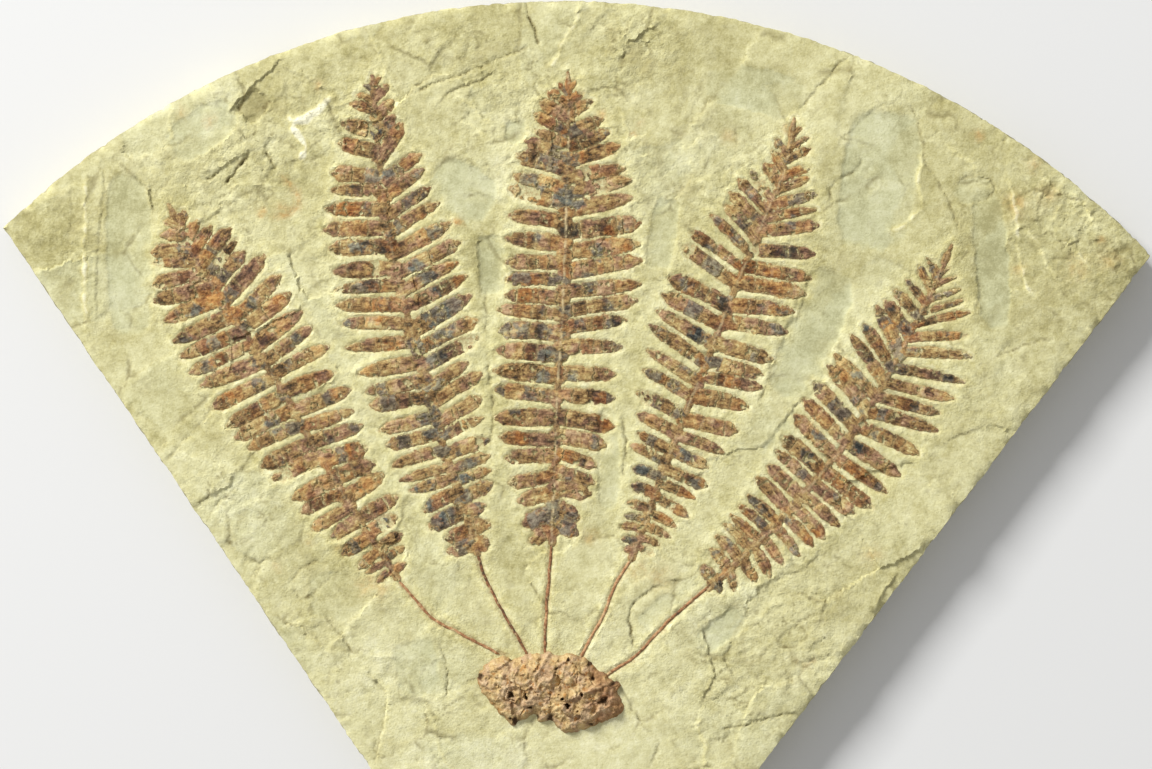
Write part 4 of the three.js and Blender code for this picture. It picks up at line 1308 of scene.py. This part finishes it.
def crown_mesh():
    """The root crown: a low mound of matted roots and grains, with cords over it and deep pits."""
    ragged = Noise(CROWN_SEED)
    edge, corners, triangles, rim_at, away = crown_outline_mesh(ragged)
    x, y = corners.T
    mound = 1 - np.exp(-away / 1.35)
    swell = 0.62 + 0.38 * smoothstep(0, 11, away)
    bent_x = x + 1.3 * ragged.layered(x, y, 4.4, 3)
    bent_y = y + 1.3 * ragged.layered(x, y + 50, 4.4, 3)
    large = clumps.read(bent_x, bent_y, 4.6, 0)[1]
    small = clumps.read(bent_x + 40, bent_y, 2.0, 0)[1]
    chunk, chunk_seam, _ = chunks.read(bent_x, bent_y, 5.2, 0.35)
    lumps = 0.9 * ragged.layered(x + 15, y, 7.0, 3) + 0.8 * chunk + 0.5 * smoothstep(0, 1.1, large)
    lumps += 0.22 * smoothstep(0, 0.55, small) + 0.4 * fine.layered(x, y, 1.8, 3, 0.6)
    cords = np.zeros(x.shape)
    for cord in CROWN_CORDS:
        off_cord, _, share = to_path(bent_x, bent_y, smooth_path(cord, 1.0))
        cords = np.maximum(cords, np.exp(-((off_cord / 0.85) ** 2)) * smoothstep(1.0, 0.75, share))
    pits = np.zeros(x.shape)
    for px, py, radius in CROWN_PITS:
        bent = np.hypot(0.5 * x + 0.5 * bent_x - px, 0.5 * y + 0.5 * bent_y - py)
        bent = bent / radius + 0.5 * fine.layered(x, y + 20, 1.8, 2)
        pits = np.maximum(pits, smoothstep(1.25, 0.4, bent))
    small_pits = 0.35 * smoothstep(0.7, 1.1, ragged.layered(x + 60, y, 2.2, 2))
    most = CROWN_RISE - 2.4
    height = mound * (most * swell + lumps * (1 - 0.6 * cords) + 1.1 * cords)
    height *= 1 - 0.6 * np.maximum(pits, small_pits)
    ground = FACE + bedding(x, y)["height"]
    top = np.column_stack([x, y, ground + np.maximum(height, 0) - 0.05])
    bottom = np.column_stack([x, y, ground - CROWN_FOOT])[rim_at]
    total, ring = len(x), len(rim_at)
    rim_after = np.roll(rim_at, -1)
    low = total + np.arange(ring)
    low_after = np.roll(low, -1)
    centre = total + ring
    middle = np.array([[*edge.mean(0), FACE - CROWN_SUNK]])
    faces = np.vstack([
        triangles,
        np.column_stack([rim_at, low, rim_after]),
        np.column_stack([rim_after, low, low_after]),
        np.column_stack([low_after, low, np.full(ring, centre)]),
    ])
    # Where painted shade goes in the crevices between the lumps and chunks.
    crevice = 1 - np.minimum(smoothstep(0, 0.7, chunk_seam), 0.4 + 0.6 * smoothstep(0, 0.5, large))
    # The marks for pits and crevices say where painted shade goes.
    marks = {
        "pit": np.clip(np.maximum(pits, small_pits), 0, 1),
        "edge": 1 - smoothstep(0, 1.4, away),
        "crevice": crevice * (1 - cords),
        "cord": cords,
    }
    marks = {k: np.concatenate([a, np.zeros(ring + 1)]) for k, a in marks.items()}
    return np.vstack([top, bottom, middle]), faces, marks


class Value:
    """A shader socket that carries a number, so that maths on it reads as arithmetic."""

    def __init__(self, finish, socket):
        self.finish = finish
        self.socket = socket

    def math(self, operation, *others, clamp=False):
        settings = {"operation": operation, "use_clamp": clamp}
        return self.finish.node("ShaderNodeMath", settings, dict(enumerate((self, *others))))

    def __add__(self, other):
        return self.math("ADD", other)

    def __sub__(self, other):
        return self.math("SUBTRACT", other)

    def __rsub__(self, other):
        return self.finish.node("ShaderNodeMath", {"operation": "SUBTRACT"}, {0: other, 1: self})

    def __mul__(self, other):
        return self.math("MULTIPLY", other)

    __radd__ = __add__
    __rmul__ = __mul__

    def between(self, low, high):
        """0 below low, 1 above high and smooth in between."""
        return self.finish.node(
            "ShaderNodeMapRange", {"interpolation_type": "SMOOTHSTEP"}, {0: self, 1: low, 2: high}
        )

    def clamped(self):
        return self.math("ADD", 0.0, clamp=True)


class Finish:
    """A material whose nodes are made by short calls."""

    def __init__(self, name, roughness):
        self.material = bpy.data.materials.new(name)
        self.material.use_nodes = True
        self.tree = self.material.node_tree
        self.shader = self.tree.nodes["Principled BSDF"]
        self.shader.inputs["Roughness"].default_value = roughness
        self.shader.inputs["Specular IOR Level"].default_value = 0.28
        place = self.node("ShaderNodeTexCoord", {}, {}, "Object")
        inputs = {0: place, "Scale": 1 / MM}
        self.place = self.node("ShaderNodeVectorMath", {"operation": "SCALE"}, inputs)

    def node(self, kind, settings, inputs, output=0):
        """A node of a kind, its settings made first, and its sockets given values or links."""
        made = self.tree.nodes.new(kind)
        for name, value in settings.items():
            if name == "stops":
                stops = made.color_ramp.elements
                while len(stops) < len(value):
                    stops.new(0.5)
                for stop, (position, colour) in zip(stops, value):
                    stop.position = position
                    stop.color = (*colour, 1)
            else:
                setattr(made, name, value)
        for name, value in inputs.items():
            socket = made.inputs[name]
            if isinstance(value, Value):
                self.tree.links.new(value.socket, socket)
            else:
                socket.default_value = value
        return Value(self, made.outputs[output])

    def noise(self, size, detail=3.0, roughness=0.55, shift=(0, 0, 0), stretch=(1, 1, 1)):
        """Noise from 0 to 1 whose patches are about size millimetres across."""
        scale = tuple(s / size for s in stretch)
        place = self.node(
            "ShaderNodeMapping", {}, {"Vector": self.place, "Location": shift, "Scale": scale}
        )
        inputs = {"Vector": place, "Scale": 1.0, "Detail": detail, "Roughness": roughness}
        return self.node("ShaderNodeTexNoise", {}, inputs)

    def mark(self, name):
        """One of the marks that the mesh carries."""
        return self.node("ShaderNodeAttribute", {"attribute_name": name}, {}, "Fac")

    def ramp(self, value, stops):
        """A colour that changes with a value."""
        return self.node("ShaderNodeValToRGB", {"stops": stops}, {0: value})

    def mix(self, base, over, share):
        """One colour laid over another by a share."""
        over = over if isinstance(over, Value) else (*over, 1)
        base = base if isinstance(base, Value) else (*base, 1)
        return self.node("ShaderNodeMix", {"data_type": "RGBA"}, {0: share, 6: base, 7: over}, 2)

    def bump(self, height, distance):
        """A change of the surface's direction, from a height and its full depth in millimetres."""
        inputs = {"Height": height, "Distance": distance * MM, "Strength": 1.0}
        return self.node("ShaderNodeBump", {}, inputs)

    def feed(self, socket, value):
        """Links a value to one of the surface's own inputs."""
        self.tree.links.new(value.socket, self.shader.inputs[socket])


def shade(red, green, blue):
    """A colour from its 0 to 255 display values."""
    return tuple(((c / 255 + 0.055) / 1.055) ** 2.4 for c in (red, green, blue))


def limestone():
    """Pale split stone: broad to fine mottling, then stains, residue, cracks with painted shade at
    steps, layer edges and the deep hollow, painted highlight on step and layer tops, and layered sides.
    """
    f = Finish("limestone", 0.9)
    names = ("pale", "dark", "grey", "iron", "worked", "rough", "tone", "residue")
    pale, dark, grey, iron, worked, rough, tone, residue = (f.mark(name) for name in names)
    cloud = f.noise(34, 4, 0.6)
    patch = f.noise(9, 4, 0.6, (40, 0, 0))
    mottle = f.noise(2.4, 4, 0.65, (0, 60, 0))
    grain = f.noise(0.8, 2, 0.6, (9, 9, 9))
    level = 0.4 * cloud + 0.42 * patch + 0.42 * mottle + 0.24 * grain - 0.24
    colour = f.ramp(level + 0.075 * tone, [
        (0.3, shade(172, 164, 110)), (0.41, shade(196, 189, 136)), (0.5, shade(211, 205, 154)),
        (0.6, shade(224, 219, 170)), (0.74, shade(238, 234, 192)),
    ])
    bluish = f.ramp(level + 0.06 * tone, [
        (0.34, shade(172, 171, 130)), (0.5, shade(200, 200, 158)), (0.66, shade(217, 217, 180)),
    ])
    colour = f.mix(colour, bluish, (grey * 0.8).clamped())
    lime = f.ramp(level, [
        (0.34, shade(205, 195, 132)), (0.48, shade(228, 220, 160)), (0.62, shade(242, 237, 186)),
    ])
    # The pale mark is paler stone round the plant and along ridges, with painted highlight along the
    # tops of steps and layer edges.
    colour = f.mix(colour, lime, (pale * (0.6 + 0.6 * patch)).clamped())
    colour = f.mix(colour, shade(250, 246, 212), ((pale - 0.9) * 0.9).clamped())
    stained = f.noise(3.2, 3, 0.6, (80, 0, 0)).between(0.42, 0.62)
    colour = f.mix(colour, shade(204, 156, 92), (iron * (0.35 + 0.6 * stained)).clamped())
    specks = f.noise(1.2, 2, 0.5, (33, 5, 0)).between(0.64, 0.74)
    colour = f.mix(colour, shade(146, 138, 92), specks * (0.25 + 0.3 * rough))
    olive = f.noise(12, 4, 0.65, (7, 70, 0)).between(0.5, 0.7)
    colour = f.mix(colour, shade(174, 164, 112), olive * (0.15 + 0.35 * rough).clamped())
    tan = f.ramp(mottle, [
        (0.3, shade(150, 116, 78)), (0.55, shade(186, 156, 108)), (0.75, shade(216, 198, 144)),
    ])
    left_over = residue * f.noise(1.6, 4, 0.7, (3, 3, 60)).between(0.4, 0.62)
    colour = f.mix(colour, tan, left_over.clamped() * 0.62)
    # The dark mark is the cracks' and joints' own colour together with painted shade at the steps' feet,
    # the layers' edges and the deep hollow.
    crack = (dark * (0.4 + 0.9 * mottle)).clamped()
    colour = f.mix(colour, shade(132, 121, 78), crack)
    normal = f.node("ShaderNodeNewGeometry", {}, {}, "Normal")
    upright = f.node("ShaderNodeSeparateXYZ", {}, {0: normal}, 2)
    side = 1 - upright.math("ABSOLUTE").between(0.25, 0.7)
    bands = f.noise(2.0, 3, 0.6, (0, 0, 50), (0.06, 0.06, 1.6))
    layer = f.ramp(bands, [
        (0.35, shade(134, 125, 90)), (0.5, shade(168, 160, 120)), (0.65, shade(195, 188, 150)),
    ])
    colour = f.mix(colour, layer, side * 0.85)
    f.feed("Base Color", colour)
    pebble = f.noise(2.1, 4, 0.65, (5, 0, 0))
    pitted = f.noise(0.9, 3, 0.6, (50, 50, 0))
    pebbles = pebble * (0.1 + 0.4 * rough + 0.16 * worked)
    small_pits = pitted * (0.13 + 0.15 * rough + 0.08 * worked)
    f.feed("Normal", f.bump(pebbles + small_pits + 0.08 * grain, 1.0))
    return f.material


def leaf_film():
    """Brown leaf film, block by block, with rosy, rusty and slaty parts and bare flecks."""
    f = Finish("leaf_film", 0.72)
    names = ("tone", "hue", "rim", "spine", "slate", "rust", "side", "reach", "wear")
    tone, hue, rim, spine, slate, rust, side, reach, wear = (f.mark(name) for name in names)
    patch = f.noise(5.5, 4, 0.6, (21, 0, 0))
    mottle = f.noise(2.0, 4, 0.7, (0, 31, 0))
    grain = f.noise(0.75, 3, 0.65, (3, 3, 3))
    lengthwise = f.node("ShaderNodeCombineXYZ", {}, {0: reach * 0.16, 1: side * 2.1, 2: hue * 40.0})
    inputs = {"Vector": lengthwise, "Scale": 1.0, "Detail": 4.0, "Roughness": 0.65}
    streak = f.node("ShaderNodeTexNoise", {}, inputs)
    level = 0.66 * mottle + 0.6 * patch + 0.4 * grain + 0.85 * streak + 0.07 * tone - 0.754
    colour = f.ramp(level, [
        (0.24, shade(46, 35, 21)), (0.36, shade(92, 69, 40)), (0.45, shade(137, 105, 64)),
        (0.53, shade(165, 132, 83)), (0.63, shade(190, 161, 103)), (0.76, shade(216, 199, 140)),
    ])
    plum = f.noise(7, 3, 0.6, (70, 9, 0)).between(0.45, 0.62)
    rosy = f.ramp(level, [
        (0.3, shade(82, 57, 46)), (0.5, shade(150, 110, 88)), (0.7, shade(200, 162, 130)),
    ])
    colour = f.mix(colour, rosy, plum * 0.75)
    ochre = f.ramp(level, [
        (0.3, shade(102, 56, 26)), (0.5, shade(168, 111, 58)), (0.7, shade(212, 162, 94)),
    ])
    odd = f.noise(3.4, 3, 0.6, (9, 0, 77)) - 0.5
    ochre_block = (0.2 - hue + 0.7 * odd).between(-0.04, 0.08)
    rusty = (rust + 1.6 * odd - 0.35).between(0.05, 0.5)
    colour = f.mix(colour, ochre, (0.7 * rusty + 0.4 * ochre_block).clamped())
    ink = f.ramp(level, [
        (0.3, shade(38, 38, 35)), (0.5, shade(82, 85, 79)), (0.7, shade(134, 137, 124)),
    ])
    other = f.noise(3.0, 3, 0.6, (0, 44, 7)) - 0.5
    olive_block = (hue - 0.86 + 0.7 * other).between(-0.03, 0.07)
    inky = (slate + 1.5 * other - 0.36).between(0.05, 0.5)
    colour = f.mix(colour, ink, (0.85 * inky + 0.7 * olive_block).clamped())
    shadowed = rim * f.noise(4.2, 3, 0.6, (60, 0, 9)).between(0.45, 0.65)
    colour = f.mix(colour, shade(84, 60, 42), shadowed * 0.3)
    haze = (rim * f.noise(2.6, 4, 0.7, (44, 0, 3)) * 1.5 + 0.9 * wear * patch).clamped()
    colour = f.mix(colour, shade(190, 168, 116), haze * 0.42)
    flecks = f.noise(1.5, 4, 0.7, (2, 15, 0))
    bare = (1.5 * flecks + 0.22 * rim + 0.5 * wear - 1.08).between(0.0, 0.2)
    stone = f.ramp(mottle, [
        (0.32, shade(188, 168, 118)), (0.5, shade(216, 202, 150)), (0.66, shade(234, 226, 176)),
    ])
    colour = f.mix(colour, stone, bare * 0.9)
    cord = f.noise(4.0, 3, 0.65, (8, 8, 8)).between(0.44, 0.6)
    colour = f.mix(colour, shade(222, 202, 154), spine * (0.1 + 0.8 * cord))
    f.feed("Base Color", colour)
    f.feed("Roughness", 0.64 + 0.2 * mottle)
    f.feed("Normal", f.bump(grain + 0.8 * mottle + 0.5 * streak, 0.36))
    return f.material


def stalk_film():
    """Rusty film of the stalks, each with its own tone."""
    f = Finish("stalk_film", 0.74)
    tone = f.mark("tone")
    patch = f.noise(7, 3, 0.6, (4, 0, 0))
    mottle = f.noise(1.4, 4, 0.65, (0, 8, 0))
    colour = f.ramp(0.8 * mottle + 0.5 * patch + 0.13 * tone - 0.15, [
        (0.28, shade(80, 60, 44)), (0.4, shade(130, 91, 60)), (0.5, shade(162, 115, 78)),
        (0.6, shade(188, 142, 100)), (0.74, shade(210, 178, 132)),
    ])
    bare = f.noise(2.2, 3, 0.6, (6, 6, 0)).between(0.58, 0.68)
    colour = f.mix(colour, shade(208, 192, 142), bare * 0.6)
    f.feed("Base Color", colour)
    f.feed("Normal", f.bump(mottle, 0.3))
    return f.material


def crown_stone():
    """Tan matted roots with rosy, amber and reddish parts, and painted shade in the pits and crevices.
    """
    f = Finish("crown_stone", 0.86)
    pit, edge, crevice, cord = (f.mark(name) for name in ("pit", "edge", "crevice", "cord"))
    patch = f.noise(7, 4, 0.6, (0, 3, 0))
    mottle = f.noise(2.2, 4, 0.7, (12, 0, 0))
    grain = f.noise(0.9, 3, 0.65, (0, 0, 9))
    level = 0.66 * mottle + 0.45 * patch + 0.42 * grain + 0.05 * cord - 0.27
    colour = f.ramp(level, [
        (0.28, shade(148, 116, 74)), (0.4, shade(186, 154, 104)), (0.5, shade(206, 176, 123)),
        (0.6, shade(222, 196, 142)), (0.72, shade(238, 220, 170)),
    ])
    rosy = f.noise(5, 3, 0.6, (5, 60, 0)).between(0.46, 0.6)
    rosy_stone = f.ramp(level, [(0.3, shade(154, 122, 96)), (0.6, shade(220, 190, 160))])
    colour = f.mix(colour, rosy_stone, rosy * 0.55)
    amber = f.noise(3.0, 3, 0.6, (0, 25, 60)).between(0.58, 0.66)
    amber_stone = f.ramp(level, [(0.3, shade(138, 80, 28)), (0.6, shade(206, 146, 72))])
    colour = f.mix(colour, amber_stone, amber * 0.7)
    across = f.node("ShaderNodeSeparateXYZ", {}, {0: f.place}, 0)
    ruddy = (across * 0.028 + 1.6 * f.noise(6, 3, 0.6, (50, 0, 0)) - 0.72).between(0.05, 0.5)
    red_bark = f.ramp(level, [
        (0.3, shade(96, 54, 32)), (0.6, shade(176, 118, 78)), (0.75, shade(208, 160, 112)),
    ])
    colour = f.mix(colour, red_bark, ruddy * 0.62)
    root_bark = f.ramp(mottle, [
        (0.35, shade(150, 118, 84)), (0.5, shade(188, 154, 116)), (0.65, shade(214, 186, 146)),
    ])
    colour = f.mix(colour, root_bark, cord * 0.6)
    # Painted shade in the crevices.
    colour = f.mix(colour, shade(104, 74, 42), (crevice * (0.04 + 0.38 * mottle)).clamped())
    colour = f.mix(colour, shade(126, 98, 60), edge * (0.05 + 0.4 * patch))
    # Painted shade in the pits.
    colour = f.mix(colour, shade(72, 50, 28), (pit - 0.04).clamped())
    f.feed("Base Color", colour)
    f.feed("Normal", f.bump(grain + mottle, 0.4))
    return f.material


def stage():
    """A plain pale floor, soft light from the upper left, and a camera that looks straight down."""
    scene = bpy.context.scene
    floor_mesh = bpy.data.meshes.new("floor")
    reach = 3.0
    corners = [(-reach, -reach, 0), (reach, -reach, 0), (reach, reach, 0), (-reach, reach, 0)]
    floor_mesh.from_pydata(corners, [], [(0, 1, 2, 3)])
    floor = bpy.data.objects.new("floor", floor_mesh)
    scene.collection.objects.link(floor)
    paint = bpy.data.materials.new("floor_paint")
    paint.use_nodes = True
    inputs = paint.node_tree.nodes["Principled BSDF"].inputs
    inputs["Base Color"].default_value = (0.78, 0.78, 0.77, 1)
    inputs["Roughness"].default_value = 0.9
    floor_mesh.materials.append(paint)

    world = bpy.data.worlds.new("soft_sky")
    world.use_nodes = True
    sky = world.node_tree.nodes["Background"].inputs
    sky["Color"].default_value = (1, 1, 1, 1)
    sky["Strength"].default_value = 0.42
    scene.world = world

    def lamp(name, place, size, power):
        light = bpy.data.lights.new(name, "AREA")
        light.size = size
        light.energy = power
        holder = bpy.data.objects.new(name, light)
        holder.location = place
        holder.rotation_euler = (-Vector(place)).to_track_quat("-Z", "Y").to_euler()
        scene.collection.objects.link(holder)

    lamp("key_light", (-2.6, 2.7, 2.3), 1.3, 245)

    camera = bpy.data.cameras.new("camera")
    camera.lens = 100
    camera.sensor_width = 36
    view_width = 0.4608
    view_centre = (-0.0004, 0.0062)
    distance = view_width * camera.lens / camera.sensor_width
    eye = bpy.data.objects.new("camera", camera)
    eye.location = (*view_centre, FACE * MM + distance)
    scene.collection.objects.link(eye)
    scene.camera = eye
    scene.view_settings.view_transform = "Standard"


film_finish, stalk_finish = leaf_film(), stalk_film()
build("stone_slab", *slab_mesh(), limestone(), "limestone", "slab")
for frond in fronds:
    build(f"{frond.name}_film", *film_mesh(frond), film_finish, "leaf_film", frond.name)
for seed, (name, path) in enumerate(stalk_paths.items()):
    build(f"{name}_film", *stalk_mesh(path, seed), stalk_finish, "stalk_film", name)
build("root_crown_mound", *crown_mesh(), crown_stone(), "crown_stone", "root_crown", 60)
stage()

bpy.context.view_layer.update()
